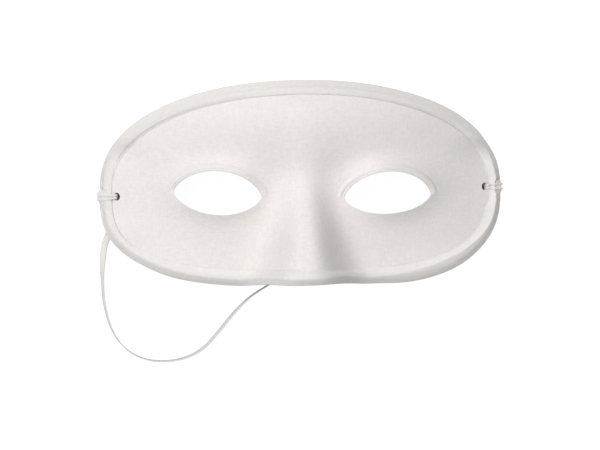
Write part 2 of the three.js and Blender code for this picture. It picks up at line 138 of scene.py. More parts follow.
@dataclass(frozen=True)
class Outline:
    """The mask's outline: two half superellipses that meet on the widest line."""

    half_width: float = 86.6
    axis_y: float = 0.0
    top: float = 43.4
    bottom: float = 43.1
    top_power: float = 2.16
    bottom_power: float = 3.2
    table_steps: int = 6000
    least_level: float = 1e-6

    def half_shape(self, off: np.ndarray) -> tuple[np.ndarray, np.ndarray]:
        """Power and reach of the half, upper or lower, on whose side of the axis a place lies."""
        upper = off > 0
        power = np.where(upper, self.top_power, self.bottom_power)
        return power, np.where(upper, self.top, self.bottom)

    def rim(self, x: np.ndarray, y: np.ndarray) -> tuple[np.ndarray, np.ndarray, np.ndarray]:
        """Distance in from the outline and the outward direction there.

        The superellipse's level is (|x/a|^p + |y/b|^p)^(1/p), which is 1 on the outline. Its
        gradient gives the way out, and (1 - level) over the gradient's length is the distance in.

        Args:
            x: Places across, in mm.
            y: Places up, in mm.

        Returns:
            The depth in from the outline, and the X and Y parts of the way out.
        """
        off = y - self.axis_y
        power, reach = self.half_shape(off)
        part_x = np.abs(x) / self.half_width
        part_y = np.abs(off) / reach
        level = np.maximum(self.least_level, (part_x**power + part_y**power) ** (1.0 / power))
        way_x = (part_x / level) ** (power - 1.0) / self.half_width
        way_y = (part_y / level) ** (power - 1.0) / reach
        slope = np.hypot(way_x, way_y)
        return (1.0 - level) / slope, way_x / slope * np.sign(x), way_y / slope * np.sign(off)

    def half_width_at(self, y: np.ndarray) -> np.ndarray:
        """Half the outline's width at a height: the superellipse solved for x.

        Args:
            y: Places up, in mm.

        Returns:
            The half widths, in mm.
        """
        off = y - self.axis_y
        power, reach = self.half_shape(off)
        part = np.maximum(0.0, 1.0 - (np.abs(off) / reach) ** power)
        return self.half_width * part ** (1.0 / power)

    def half_run(self, count: int) -> tuple[np.ndarray, np.ndarray]:
        """Places at even steps up the right half, from the bottom centre to the top centre.

        The superellipse is x = a cos^(2/p), y = b sin^(2/p). A fine table of it gives the run, and
        the places are read from that table at even steps of the run.

        Args:
            count: How many places, both ends among them.

        Returns:
            The places, one row each, and the run up to each, in mm.
        """
        angle = np.linspace(-math.pi / 2, math.pi / 2, self.table_steps)
        power, reach = self.half_shape(angle)
        x = self.half_width * np.maximum(0.0, np.cos(angle)) ** (2.0 / power)
        y = self.axis_y + reach * np.sign(angle) * np.abs(np.sin(angle)) ** (2.0 / power)
        x[[0, -1]] = 0.0
        run = np.concatenate(([0.0], np.cumsum(np.hypot(np.diff(x), np.diff(y)))))
        want = np.linspace(0.0, run[-1], count)
        return np.column_stack((np.interp(want, run, x), np.interp(want, run, y))), want


@dataclass(frozen=True)
class Temple:
    """One temple end: its side, its hole's height, its pieces' names and its strands' sizes."""

    side: Side
    y: float
    node: str
    piece: str
    strand_width: float
    apart: float
    apart_in_hole: float
    hole_inset: float


TEMPLES = (
    Temple(Side.LEFT, -4.9, "left_knot", "left_loop", 1.85, 0.91, 0.45, 7.2),
    Temple(Side.RIGHT, -2.1, "right_knot", "right_loop", 0.95, 1.0, 0.4, 6.45),
)


@dataclass(frozen=True)
class Swell:
    """A bell on the face: its height, its centre and its reach each way, in mm."""

    height: float
    x: float
    y: float
    wide: float
    tall: float

    def at(self, across: np.ndarray, y: np.ndarray) -> np.ndarray:
        """Height that the bell adds at a place."""
        return self.height * fall((across - self.x) / self.wide) * fall((y - self.y) / self.tall)


@dataclass(frozen=True)
class Ledge:
    """A step down across the face: a logistic step under y times exp(-(x / wide)^power), in mm."""

    drop: float
    y: float
    fade: float
    wide: float
    power: float

    def at(self, across: np.ndarray, y: np.ndarray) -> np.ndarray:
        """Height that the step adds at a place, which is never above 0."""
        across_share = np.exp(-((across / self.wide) ** self.power))
        return -self.drop * rise((self.y - y) / self.fade) * across_share


@dataclass(frozen=True)
class EyeBulge:
    """The round swell about each eye: exp(-r^power) with its own reach each way, in mm."""

    height: float = 11.4
    x: float = 35.2
    y: float = -0.9
    inner: float = 13.8
    outer: float = 19.6
    up: float = 9.0
    down: float = 11.1
    power: float = 2.4

    def at(self, across: np.ndarray, y: np.ndarray) -> np.ndarray:
        """Height that the swell adds at a place.

        Args:
            across: Distances from the centre line, in mm.
            y: Places up, in mm.

        Returns:
            The heights, in mm.
        """
        u, v = across - self.x, y - self.y
        part_u = u / np.where(u > 0, self.outer, self.inner)
        part_v = v / np.where(v > 0, self.up, self.down)
        return self.height * np.exp(-(np.hypot(part_u, part_v) ** self.power))


@dataclass(frozen=True)
class Nose:
    """The nose: a logistic rise down the face times exp(-(across / half width)^power), in mm.

    The half width grows from the bridge to the foot, and so does the power, which makes the flanks
    steeper. The left flank is a little nearer the ridge.
    """

    height: float = 30.0
    y: float = -13.7
    fade: float = 9.5
    bridge: float = 8.7
    foot: float = 18.2
    left_narrower: float = 0.05
    flare_y: float = -6.6
    flare_round: float = 5.0
    flare_run: float = 38.0
    bridge_power: float = 2.1
    foot_power: float = 2.75
    power_y: float = -16.0
    power_fade: float = 8.0

    def at(self, x: np.ndarray, y: np.ndarray) -> np.ndarray:
        """Height that the nose adds at a place.

        Args:
            x: Places across, in mm.
            y: Places up, in mm.

        Returns:
            The heights, in mm.
        """
        below = self.flare_y - y
        flare = (below + np.hypot(below, self.flare_round)) / (2.0 * self.flare_run)
        half = self.bridge + (self.foot - self.bridge) * flare
        half = half * np.where(x < 0, 1.0 - self.left_narrower, 1.0)
        steeper = rise((self.power_y - y) / self.power_fade)
        power = self.bridge_power + (self.foot_power - self.bridge_power) * steeper
        across_share = np.exp(-((np.abs(x) / half) ** power))
        return self.height * rise((self.y - y) / self.fade) * across_share


@dataclass(frozen=True)
class RimTurn:
    """How the face turns back towards its edge: most at the bottom, hardly at the ends, in mm."""

    width: float = 4.2
    round: float = 1.4
    top: float = 0.7
    bottom: float = 1.25
    end: float = 0.05
    fade: float = 3.0

    def drop(self, depth: np.ndarray, out_x: np.ndarray, out_y: np.ndarray) -> np.ndarray:
        """How far the face drops at a distance in from the outline: a hyperbola that starts at 0.

        Args:
            depth: Distance in from the outline, in mm.
            out_x: X part of the way out.
            out_y: Y part of the way out.

        Returns:
            The drops, in mm.
        """
        back = np.maximum(self.width - depth, 0.0)
        lengthwise = np.where(out_y > 0, self.top, self.bottom) * np.abs(out_y) ** self.fade
        bend = self.end * out_x**2 + lengthwise
        return bend * (np.hypot(back, self.round) - self.round)


@dataclass(frozen=True)
class RestFlat:
    """The level stretch of edge at each temple, on which the mask lies, and its fades, in mm."""

    y: float = -1.1
    up: float = 10.0
    down: float = 11.0
    fade_up: float = 12.0
    fade_down: float = 5.0
    from_x: float = 60.0
    to_x: float = 82.0

    def share(self, x: np.ndarray, y: np.ndarray) -> np.ndarray:
        """How much of the edge's own rise is taken out at a place.

        Args:
            x: Places across, in mm.
            y: Places up, in mm.

        Returns:
            The shares, from 0 to 1.
        """
        off = y - self.y
        above = smooth_step(self.up, self.up + self.fade_up, off)
        below = smooth_step(self.down, self.down + self.fade_down, -off)
        beside = smooth_step(self.from_x, self.to_x, np.abs(x))
        return (1.0 - np.where(off > 0, above, below)) * beside


@dataclass(frozen=True)
class TiePull:
    """How each cord loop pulls the rim out and up, in mm."""

    lift: float = 1.6
    out: float = 0.5
    half: float = 1.7
    fade: float = 1.4
    depth: float = 3.2

    def share(self, x: np.ndarray, y: np.ndarray, depth: np.ndarray, inset: float) -> np.ndarray:
        """How far the rim is pulled at a place.

        Args:
            x: Places across, in mm.
            y: Places up, in mm.
            depth: Distance in from the outline, in mm.
            inset: Distance in at which the pull starts to fade, in mm.

        Returns:
            The shares, from 0 to 1.
        """
        pull = np.zeros(np.broadcast(x, y).shape)
        for temple in TEMPLES:
            beside = 1.0 - smooth_step(self.half, self.half + self.fade, np.abs(y - temple.y))
            pull = np.where(np.sign(x) == temple.side.value, beside, pull)
        return pull * (1.0 - smooth_step(inset, inset + self.depth, depth))


@dataclass(frozen=True)
class RimBow:
    """The small bow of the left rim over the elastic that comes out from under it, in mm."""

    y: float = -20.0
    lift: float = 1.1
    half: float = 2.0
    fade: float = 6.5
    from_x: float = 62.0
    to_x: float = 82.0

    def at(self, x: np.ndarray, y: np.ndarray) -> np.ndarray:
        """Height that the bow adds at a place."""
        beside = 1.0 - smooth_step(self.half, self.half + self.fade, np.abs(y - self.y))
        return self.lift * beside * smooth_step(self.from_x, self.to_x, -x)


@dataclass(frozen=True)
class HandTrim:
    """The rim's small hand-made unevenness: how far it is drawn in about a few places, in mm.

    Each place is its x, its y, its reach along the rim and how far the rim is drawn in there.
    """

    places: tuple[tuple[float, float, float, float], ...] = (
        (2.5, -43.0, 16.0, 1.4),
        (31.0, -43.0, 8.0, 0.45),
        (-46.0, -42.0, 16.0, 0.35),
        (-69.0, -34.0, 13.0, 1.2),
        (77.0, -29.0, 13.0, 1.15),
        (47.0, -42.0, 12.0, -0.45),
        (80.0, 17.0, 14.0, 0.6),
        (86.0, -6.0, 15.0, -0.6),
        (-10.0, 43.0, 60.0, 0.75),
        (48.0, 39.0, 28.0, 0.55),
        (-86.0, -10.0, 16.0, -0.8),
    )
    depth: float = 14.0

    def drawn_in(self, x: np.ndarray, y: np.ndarray, depth: np.ndarray) -> np.ndarray:
        """How far a place is drawn in, in mm."""
        total = sum(amount * fall(np.hypot(x - at_x, y - at_y) / reach)
                    for at_x, at_y, reach, amount in self.places)
        return total * (1.0 - smooth_step(0.0, self.depth, depth))


@dataclass(frozen=True)
class Mould:
    """The moulded face: a height over the plan, built up from a wrap, swells and hollows, in mm."""

    outline: Outline = field(default_factory=Outline)
    rest_height: float = 34.7
    wrap_radius: float = 130.0
    roll_y: float = -0.6
    forehead_roll: float = 296.0
    cheek_roll: float = 199.0
    forehead: Swell = Swell(8.0, 0.0, 29.0, 60.0, 16.4)
    brow: Ledge = Ledge(5.9, 7.3, 4.1, 70.0, 4.0)
    cheek: Swell = Swell(2.5, 38.0, -9.1, 20.0, 14.0)
    cheek_fall: Ledge = Ledge(4.0, -14.6, 8.0, 49.0, 2.0)
    eye_bulge: EyeBulge = EyeBulge()
    nose: Nose = Nose()
    rim_turn: RimTurn = RimTurn()
    rest_flat: RestFlat = RestFlat()
    tie_pull: TiePull = TiePull()
    rim_bow: RimBow = RimBow()
    hand_trim: HandTrim = HandTrim()
    inset: float = 1.0
    wall: float = 1.2
    slope_step: float = 0.05
    look_in: float = 0.5

    def height(self, x: np.ndarray, y: np.ndarray) -> np.ndarray:
        """Height of the face before its rim is worked.

        A circular wrap across and a parabola up carry the swells, the ledges and the nose.

        Args:
            x: Places across, in mm.
            y: Places up, in mm.

        Returns:
            The heights, in mm.
        """
        across = np.abs(x)
        off = y - self.roll_y
        z = np.sqrt(np.maximum(self.wrap_radius**2 - x * x, 1.0)) - self.wrap_radius
        z = z - off**2 / (2.0 * np.where(off > 0, self.forehead_roll, self.cheek_roll))
        for form in (self.forehead, self.brow, self.cheek, self.cheek_fall, self.eye_bulge):
            z = z + form.at(across, y)
        return self.rest_height + z + self.nose.at(x, y)

    def edge_height(self, y: np.ndarray) -> np.ndarray:
        """Height of the mould at the outline, beside a height y of the plan."""
        return self.height(self.outline.half_width_at(y), y)

    def front(self, x: np.ndarray, y: np.ndarray) -> np.ndarray:
        """Points of the finished front face.

        The mould's edge is turned back, laid level at the temples, bowed over the elastic, pulled
        up and out by the loops, and drawn in by the trim.
        Args:
            x: Places across, in mm.
            y: Places up, in mm.

        Returns:
            The points, with a last axis of three.
        """
        x, y = np.broadcast_arrays(np.asarray(x, float), np.asarray(y, float))
        depth, out_x, out_y = self.outline.rim(x, y)
        z = self.height(x, y) - self.rim_turn.drop(depth, out_x, out_y)
        rise_of_edge = self.edge_height(y) - self.edge_height(np.array(self.rest_flat.y))
        z = z - self.rest_flat.share(x, y) * rise_of_edge + self.rim_bow.at(x, y)
        pull = self.tie_pull.share(x, y, depth, self.inset)
        drawn = self.hand_trim.drawn_in(x, y, depth)
        moved_x = x + np.sign(x) * self.tie_pull.out * pull - out_x * drawn
        return np.stack((moved_x, y - out_y * drawn, z + self.tie_pull.lift * pull), axis=-1)

    def normal(self, x: np.ndarray, y: np.ndarray) -> np.ndarray:
        """Outward normals of the front face, from the cross product of its two slopes.

        Args:
            x: Places across, in mm.
            y: Places up, in mm.

        Returns:
            The normals, with a last axis of three.
        """
        step = self.slope_step
        along_x = self.front(x + step, y) - self.front(x - step, y)
        along_y = self.front(x, y + step) - self.front(x, y - step)
        return unit(np.cross(along_x, along_y))

    def layer(self, x: np.ndarray, y: np.ndarray, height: np.ndarray) -> np.ndarray:
        """Points at a height along the normal: 0 on the front face, minus the wall on the back."""
        return self.front(x, y) + self.normal(x, y) * np.asarray(height)[..., None]

    def beside(self, temple: Temple, inset: float) -> tuple[np.ndarray, np.ndarray]:
        """The plan's place at a temple's own height, at a distance straight in from the outline."""
        y = np.array(temple.y)
        return temple.side.value * (self.outline.half_width_at(y) - inset), y

    def edge_frame(self, edge: np.ndarray, way_out: np.ndarray
                   ) -> tuple[np.ndarray, np.ndarray, np.ndarray]:
        """The face near its edge: its points, its normals, and the ways out along the face.

        A way out is what the face does from a little further in, made square to the normal.

        Args:
            edge: Places of the plan, with a last axis of two.
            way_out: The plan's way out at each.

        Returns:
            The points, the normals and the ways out, each with a last axis of three.
        """
        inner = edge - self.look_in * way_out
        base = self.front(edge[..., 0], edge[..., 1])
        normal = self.normal(edge[..., 0], edge[..., 1])
        outward = base - self.front(inner[..., 0], inner[..., 1])
        return base, normal, square_to(normal, outward)


def grid_quads(rows: int, columns: int, close_rows: bool, close_columns: bool) -> np.ndarray:
    """Corner numbers of the quads of a grid whose points are numbered row by row.

    Args:
        rows: Rows of points.
        columns: Points in a row.
        close_rows: Whether the last row joins the first.
        close_columns: Whether the last point of a row joins its first.

    Returns:
        One row of four corner numbers for each quad.
    """
    row = np.arange(rows if close_rows else rows - 1)[:, None]
    column = np.arange(columns if close_columns else columns - 1)[None, :]
    next_row = (row + 1) % rows
    next_column = (column + 1) % columns
    corners = (row * columns + column, row * columns + next_column,
               next_row * columns + next_column, next_row * columns + column)
    return np.stack([np.broadcast_to(c, (row.size, column.size)).ravel() for c in corners], axis=-1)


def write_mesh(name: str, points: np.ndarray, faces: np.ndarray) -> bpy.types.Mesh:
    """A mesh from whole arrays, with smooth faces.

    Args:
        name: Name of the mesh.
        points: Places in mm, one row each.
        faces: Corner numbers, one row of four for each face.

    Returns:
        The mesh, in metres.
    """
    mesh = bpy.data.meshes.new(name)
    mesh.vertices.add(len(points))
    mesh.vertices.foreach_set("co", (points * MM).astype(np.float32).ravel())
    mesh.loops.add(faces.size)
    mesh.loops.foreach_set("vertex_index", faces.astype(np.int32).ravel())
    mesh.polygons.add(len(faces))
    starts = np.arange(0, faces.size, faces.shape[1], dtype=np.int32)
    mesh.polygons.foreach_set("loop_start", starts)
    mesh.polygons.foreach_set("use_smooth", np.ones(len(faces), bool))
    mesh.update(calc_edges=True)
    mesh.validate()
    return mesh


def turn_outwards(mesh: bpy.types.Mesh) -> None:
    """Turns the faces of a closed mesh outwards, each closed body by itself.

    Args:
        mesh: The mesh, which is changed in place.
    """
    shape = bmesh.new()
    shape.from_mesh(mesh)
    bmesh.ops.recalc_face_normals(shape, faces=shape.faces)
    shape.to_mesh(mesh)
    shape.free()


def add_object(name: str, data: bpy.types.ID) -> bpy.types.Object:
    """An object at the origin, linked into the scene."""
    made = bpy.data.objects.new(name, data)
    bpy.context.scene.collection.objects.link(made)
    return made


def place_object(name: str, mesh: bpy.types.Mesh, *finishes: bpy.types.Material
                 ) -> bpy.types.Object:
    """An object at the origin with its materials in order."""
    for finish in finishes:
        mesh.materials.append(finish)
    return add_object(name, mesh)


def write_strip_uv(mesh: bpy.types.Mesh, along: np.ndarray, across: np.ndarray) -> None:
    """A UV map in which U is the run along a strip and V the way across it, both in mm.

    The faces are those of a grid, so a face whose corners jump back from the end of a row to its
    start takes the run on past the end instead.

    Args:
        mesh: The mesh, whose vertices are numbered as the two arrays are.
        along: The run of each vertex, in mm.
        across: The way across of each vertex, in mm.
    """
    corner = np.empty(len(mesh.loops), np.int32)
    mesh.loops.foreach_get("vertex_index", corner)
    quads = corner.reshape(-1, 4)
    uv = np.stack((along[quads], across[quads]), axis=-1)
    for axis, values in enumerate((along, across)):
        span = values.max() - values.min()
        low = uv[..., axis] < uv[..., axis].max(axis=1, keepdims=True) - 0.5 * span
        uv[..., axis] += low * (span * len(values) / max(len(values) - 1, 1))
    layer = mesh.uv_layers.new(name="strip")
    layer.data.foreach_set("uv", uv.astype(np.float32).ravel())


def smooth_path(points: np.ndarray, count: int, closed: bool = False, fine_steps: int = 40
                ) -> np.ndarray:
    """A smooth path through points: cubic Hermite pieces on centripetal knots, at even steps.

    The knots stand apart by the square root of the chord. Each tangent is that of the parabola
    through a point and its neighbours. The path is read again at even steps of its own run.

    Args:
        points: The points, one row each.
        count: How many places to give.
        closed: Whether the path comes back to its start.
        fine_steps: Places worked out for each point before the path is read at even steps.

    Returns:
        The places, one row each, without a repeat of the start.
    """
    if closed:
        points = np.concatenate((points[-3:], points, points[:4]))
    chord = np.linalg.norm(np.diff(points, axis=0), axis=1)
    knot = np.concatenate(([0.0], np.cumsum(np.sqrt(chord))))
    gap = np.diff(knot)[:, None]
    slope = np.diff(points, axis=0) / gap
    inner = (slope[:-1] * gap[1:] + slope[1:] * gap[:-1]) / (gap[:-1] + gap[1:])
    tangent = np.concatenate((slope[:1], inner, slope[-1:]))
    first, last = (knot[3], knot[-4]) if closed else (0.0, knot[-1])
    fine = np.linspace(first, last, fine_steps * len(points))
    part = np.clip(np.searchsorted(knot, fine, side="right") - 1, 0, len(gap) - 1)
    t = ((fine - knot[part]) / gap[part, 0])[:, None]
    start, end = points[part], points[part + 1]
    from_slope, to_slope = tangent[part] * gap[part], tangent[part + 1] * gap[part]
    places = ((1 + 2 * t) * (1 - t) ** 2 * start + t * (1 - t) ** 2 * from_slope
              + t * t * (3 - 2 * t) * end + t * t * (t - 1) * to_slope)
    run = run_along(places)
    want = np.linspace(0.0, run[-1], count, endpoint=not closed)
    return np.stack([np.interp(want, run, axis) for axis in places.T], axis=-1)


class NodeSketch:
    """Adds and links shader nodes in one tree."""

    def __init__(self, tree: bpy.types.NodeTree) -> None:
        """Keeps the tree that the nodes go into."""
        self.tree = tree

    @classmethod
    def of(cls, owner: bpy.types.Material | bpy.types.World) -> "NodeSketch":
        """A sketch of a material's or a world's own tree, which is emptied first."""
        owner.use_nodes = True
        owner.node_tree.nodes.clear()
        return cls(owner.node_tree)

    def node(self, kind: str, inputs: dict | None = None, **settings: object) -> bpy.types.Node:
        """Adds a node, sets its settings, and sets or links its inputs.

        Args:
            kind: The node's type name.
            inputs: Input name or number to a value, or to a socket that feeds it.
            settings: Attributes of the node.

        Returns:
            The node.
        """
        made = self.tree.nodes.new(kind)
        for name, value in settings.items():
            setattr(made, name, value)
        for name, value in (inputs or {}).items():
            self.feed(made, name, value)
        return made

    def feed(self, node: bpy.types.Node, name: str | int, value: object) -> None:
        """Links a socket to a node's input, or sets the input to a plain value.

        Args:
            node: The node.
            name: The input's name or number.
            value: The socket or the plain value.
        """
        if isinstance(value, bpy.types.NodeSocket):
            self.tree.links.new(value, node.inputs[name])
        else:
            node.inputs[name].default_value = value

    def group(self, tree: bpy.types.NodeTree, inputs: dict) -> bpy.types.Node:
        """Adds a shared node group and sets or links its inputs."""
        return self.node("ShaderNodeGroup", inputs, node_tree=tree)

    def math(self, operation: str, first: object, second: object = 0.0) -> bpy.types.NodeSocket:
        """The output of a Math node."""
        return self.node("ShaderNodeMath", {0: first, 1: second}, operation=operation).outputs[0]

    def vector(self, operation: str, first: object, second: object) -> bpy.types.NodeSocket:
        """The output of a Vector Math node, where the second input of SCALE is the scale."""
        inputs = {0: first, "Scale" if operation == "SCALE" else 1: second}
        made = self.node("ShaderNodeVectorMath", inputs, operation=operation)
        return made.outputs["Value" if operation == "DISTANCE" else "Vector"]

    def mix_colour(self, share: object, first: object, second: object) -> bpy.types.NodeSocket:
        """The output of a Mix node that blends two colours."""
        made = self.node("ShaderNodeMix", {0: share, 6: first, 7: second}, data_type="RGBA")
        return made.outputs[2]

    def ranged(self, value: object, low: float, high: float, to_low: float,
               to_high: float) -> bpy.types.NodeSocket:
        """The output of a Map Range node."""
        ends = {"From Min": low, "From Max": high, "To Min": to_low, "To Max": to_high}
        return self.node("ShaderNodeMapRange", {"Value": value, **ends}).outputs[0]

    def noise(self, place: object, scale: object, detail: float, **more: object) -> bpy.types.Node:
        """A Noise Texture node, with its further inputs by their names."""
        inputs = {"Vector": place, "Scale": scale, "Detail": detail, **more}
        return self.node("ShaderNodeTexNoise", inputs)

    def bump(self, height: object, depth: float, **more: object) -> bpy.types.NodeSocket:
        """The output of a Bump node of a depth in mm, with its further inputs by their names."""
        inputs = {"Height": height, "Strength": 1.0, "Distance": depth * MM, **more}
        return self.node("ShaderNodeBump", inputs).outputs[0]

    def surface(self, shader: bpy.types.Node) -> None:
        """Makes a shader the material's surface."""
        self.node("ShaderNodeOutputMaterial", {"Surface": shader.outputs[0]})


class GroupSketch(NodeSketch):
    """A shared node group: a Vector and named values in, and named values out."""

    def __init__(self, name: str, outputs: tuple[str, ...], **values: float) -> None:
        """Makes the group, its sockets and its two end nodes.

        Args:
            name: Name of the group.
            outputs: Names of the outputs.
            values: Name and starting value of each input beside Vector.
        """
        super().__init__(bpy.data.node_groups.new(name, "ShaderNodeTree"))
        sockets = self.tree.interface
        sockets.new_socket("Vector", in_out="INPUT", socket_type="NodeSocketVector")
        for label, value in values.items():
            made = sockets.new_socket(label, in_out="INPUT", socket_type="NodeSocketFloat")
            made.default_value = value
        for label in outputs:
            sockets.new_socket(label, in_out="OUTPUT", socket_type="NodeSocketFloat")
        self.given = self.node("NodeGroupInput").outputs
        self.result = self.node("NodeGroupOutput")


def thread_group() -> bpy.types.NodeTree:
    """Plain weave: crossing threads that lie over and under each other in turn.

    The place is counted in threads each way and bent a little by noise. In each square the thread
    on top is a half round, along one way where the two counts add to an even number and along the
    other where they add to an odd one. Slubs are noise drawn out along each of the two ways.

    Returns:
        The group, with outputs Height and Slub, each about 0 to 1.
    """
    sketch = GroupSketch("thread_weave", ("Height", "Slub"), Threads=2000.0, Sway=0.4)
    given = sketch.given
    sway = sketch.noise(given["Vector"], 260.0, 2.0).outputs["Color"]
    centred = sketch.vector("SUBTRACT", sway, (0.5, 0.5, 0.5))
    bent = sketch.vector("SCALE", centred, given["Sway"])
    counted = sketch.vector("SCALE", given["Vector"], given["Threads"])
    axes = sketch.node("ShaderNodeSeparateXYZ", {0: sketch.vector("ADD", counted, bent)})
    rounds, squares = [], []
    for axis in axes.outputs[:2]:
        whole = sketch.math("FLOOR", axis)
        part = sketch.math("SUBTRACT", sketch.math("SUBTRACT", axis, whole), 0.5)
        rounds.append(sketch.math("COSINE", sketch.math("MULTIPLY", part, math.pi)))
        squares.append(whole)
    odd = sketch.math("PINGPONG", sketch.math("ADD", *squares), 1.0)
    over = sketch.math("MULTIPLY", rounds[0], odd)
    under = sketch.math("MULTIPLY", rounds[1], sketch.math("SUBTRACT", 1.0, odd))
    sketch.feed(sketch.result, "Height", sketch.math("ADD", over, under))
    streaks = []
    for stretch in ((0.3, 1.0, 0.6), (1.0, 0.3, 0.6)):
        drawn_out = sketch.vector("MULTIPLY", given["Vector"], stretch)
        streaks.append(sketch.noise(drawn_out, 1150.0, 3.0, Roughness=0.6).outputs["Fac"])
    slub = sketch.math("MULTIPLY", sketch.math("ADD", *streaks), 0.5)
    sketch.feed(sketch.result, "Slub", slub)
    return sketch.tree


def mottle_group() -> bpy.types.NodeTree:
    """Uneven tone and a few specks: broad and fine noise, and the centres of sparse noise cells.

    Returns:
        The group, with outputs Tone and Fine, about 0 to 1, and Speck, 1 on a speck.
    """
    sketch = GroupSketch("soft_mottle", ("Tone", "Fine", "Speck"), Patches=45.0, Specks=150.0)
    place = sketch.given["Vector"]
    broad = sketch.noise(place, sketch.given["Patches"], 3.0)
    fine = sketch.noise(place, 1400.0, 4.0, Roughness=0.65)
    cells = sketch.node("ShaderNodeTexVoronoi", {"Vector": place, "Scale": sketch.given["Specks"]})
    chosen = sketch.node("ShaderNodeSeparateColor", {0: cells.outputs["Color"]})
    rare = sketch.math("GREATER_THAN", chosen.outputs[0], 0.965)
    small = sketch.ranged(cells.outputs["Distance"], 0.02, 0.05, 1.0, 0.0)
    sketch.feed(sketch.result, "Tone", broad.outputs["Fac"])
    sketch.feed(sketch.result, "Fine", fine.outputs["Fac"])
    sketch.feed(sketch.result, "Speck", sketch.math("MULTIPLY", rare, small))
    return sketch.tree


def fibre_group() -> bpy.types.NodeTree:
    """Paper fibres: ridges of noise that was itself bent by noise, so that they curl every way.

    Returns:
        The group, with outputs Height and Tone, about 0 to 1.
    """
    sketch = GroupSketch("paper_fibre", ("Height", "Tone"), Scale=500.0, Curl=1.2)
    given = sketch.given
    curled = sketch.noise(given["Vector"], given["Scale"], 4.0, Distortion=given["Curl"])
    ridge = sketch.math("ABSOLUTE", sketch.math("SUBTRACT", curled.outputs["Fac"], 0.5))
    sketch.feed(sketch.result, "Height", sketch.ranged(ridge, 0.0, 0.16, 1.0, 0.0))
    pulp = sketch.noise(given["Vector"], 120.0, 5.0)
    sketch.feed(sketch.result, "Tone", pulp.outputs["Fac"])
    return sketch.tree


@dataclass(frozen=True)
class ClothFinish:
    """A matt white cloth-like surface: a weave with painted shade in its gaps, a soft mottle, slight
    sheen and an optional painted glow.
    """

    name: str
    colour: tuple[float, float, float]
    shade: tuple[float, float, float]
    threads: float
    weave_depth: float
    slub_depth: float
    roughness: float = 0.86
    rough_spread: float = 0.05
    tone_share: float = 0.35
    slub_tone: float = 0.7
    # painted shade: how much darker the threads' edges and the gaps between them are drawn
    gap_shade: float = 0.2
    speck_share: float = 0.35
    speck_colour: tuple[float, float, float] = (0.25, 0.22, 0.2)
    sheen: float = 0.12
    # painted light: an even glow in the cloth's own colour that lightens its shaded faces
    painted_glow: float = 0.0
    strip_map: bool = False

    def material(self, groups: dict[str, bpy.types.NodeTree]) -> bpy.types.Material:
        """Builds the material.

        Args:
            groups: The shared shader node groups by name.

        Returns:
            The material, on Object coordinates or on the strip's own UV map in mm.
        """
        made = bpy.data.materials.new(self.name)
        sketch = NodeSketch.of(made)
        if self.strip_map:
            source = sketch.node("ShaderNodeUVMap", uv_map="strip").outputs["UV"]
            place = sketch.vector("SCALE", source, MM)
        else:
            place = sketch.node("ShaderNodeTexCoord").outputs["Object"]
        threads = {"Vector": place, "Threads": self.threads}
        weave = sketch.group(groups["thread_weave"], threads).outputs
        mottle = sketch.group(groups["soft_mottle"], {"Vector": place}).outputs
        tone = sketch.math("MULTIPLY", mottle["Tone"], self.tone_share)
        slub = sketch.ranged(weave["Slub"], 0.3, 0.7, 0.0, self.slub_tone)
        # Painted shade: the colour darkens where the weave is low, at the threads' edges and in the
        # gaps.
        below = sketch.math("SUBTRACT", 1.0, weave["Height"])
        painted_gap_shade = sketch.math("MULTIPLY", below, self.gap_shade)
        share = sketch.math("ADD", sketch.math("ADD", tone, slub), painted_gap_shade)
        colour = sketch.mix_colour(share, (*self.colour, 1.0), (*self.shade, 1.0))
        speck = sketch.math("MULTIPLY", mottle["Speck"], self.speck_share)
        colour = sketch.mix_colour(speck, colour, (*self.speck_colour, 1.0))
        rough = sketch.ranged(mottle["Fine"], 0.3, 0.7, self.roughness - self.rough_spread,
                              self.roughness + self.rough_spread)
        bumps = sketch.bump(weave["Height"], self.weave_depth)
        bumps = sketch.bump(weave["Slub"], self.slub_depth, Normal=bumps)
        # The emission in the cloth's own colour is a painted glow, not a lamp.
        sketch.surface(sketch.node("ShaderNodeBsdfPrincipled", {
            "Base Color": colour, "Roughness": rough, "Normal": bumps, "Sheen Weight": self.sheen,
            "Sheen Roughness": 0.5, "Specular IOR Level": 0.3, "Emission Color": colour,
            "Emission Strength": self.painted_glow}))
        return made


@dataclass(frozen=True)
class PulpFinish:
    """The plain back of the shell: dry paper pulp with fibres and a faint mottle."""

    name: str = "paper_pulp_back"
    colour: tuple[float, float, float] = (0.78, 0.755, 0.72)
    shade: tuple[float, float, float] = (0.66, 0.63, 0.59)
    fibre_depth: float = 0.09
    smoothest: float = 0.86
    roughest: float = 0.97

    def material(self, groups: dict[str, bpy.types.NodeTree]) -> bpy.types.Material:
        """Builds the material on Object coordinates.

        Args:
            groups: The shared shader node groups by name.

        Returns:
            The material.
        """
        made = bpy.data.materials.new(self.name)
        sketch = NodeSketch.of(made)
        place = {"Vector": sketch.node("ShaderNodeTexCoord").outputs["Object"]}
        fibre = sketch.group(groups["paper_fibre"], place).outputs
        mottle = sketch.group(groups["soft_mottle"], place).outputs
        share = sketch.math("ADD", fibre["Tone"], mottle["Fine"])
        share = sketch.math("MULTIPLY", share, 0.5)
        colour = sketch.mix_colour(share, (*self.colour, 1.0), (*self.shade, 1.0))
        rough = sketch.ranged(mottle["Fine"], 0.3, 0.7, self.smoothest, self.roughest)
        bumps = sketch.bump(fibre["Height"], self.fibre_depth)
        sketch.surface(sketch.node("ShaderNodeBsdfPrincipled", {
            "Base Color": colour, "Roughness": rough, "Normal": bumps, "Specular IOR Level": 0.2}))
        return made


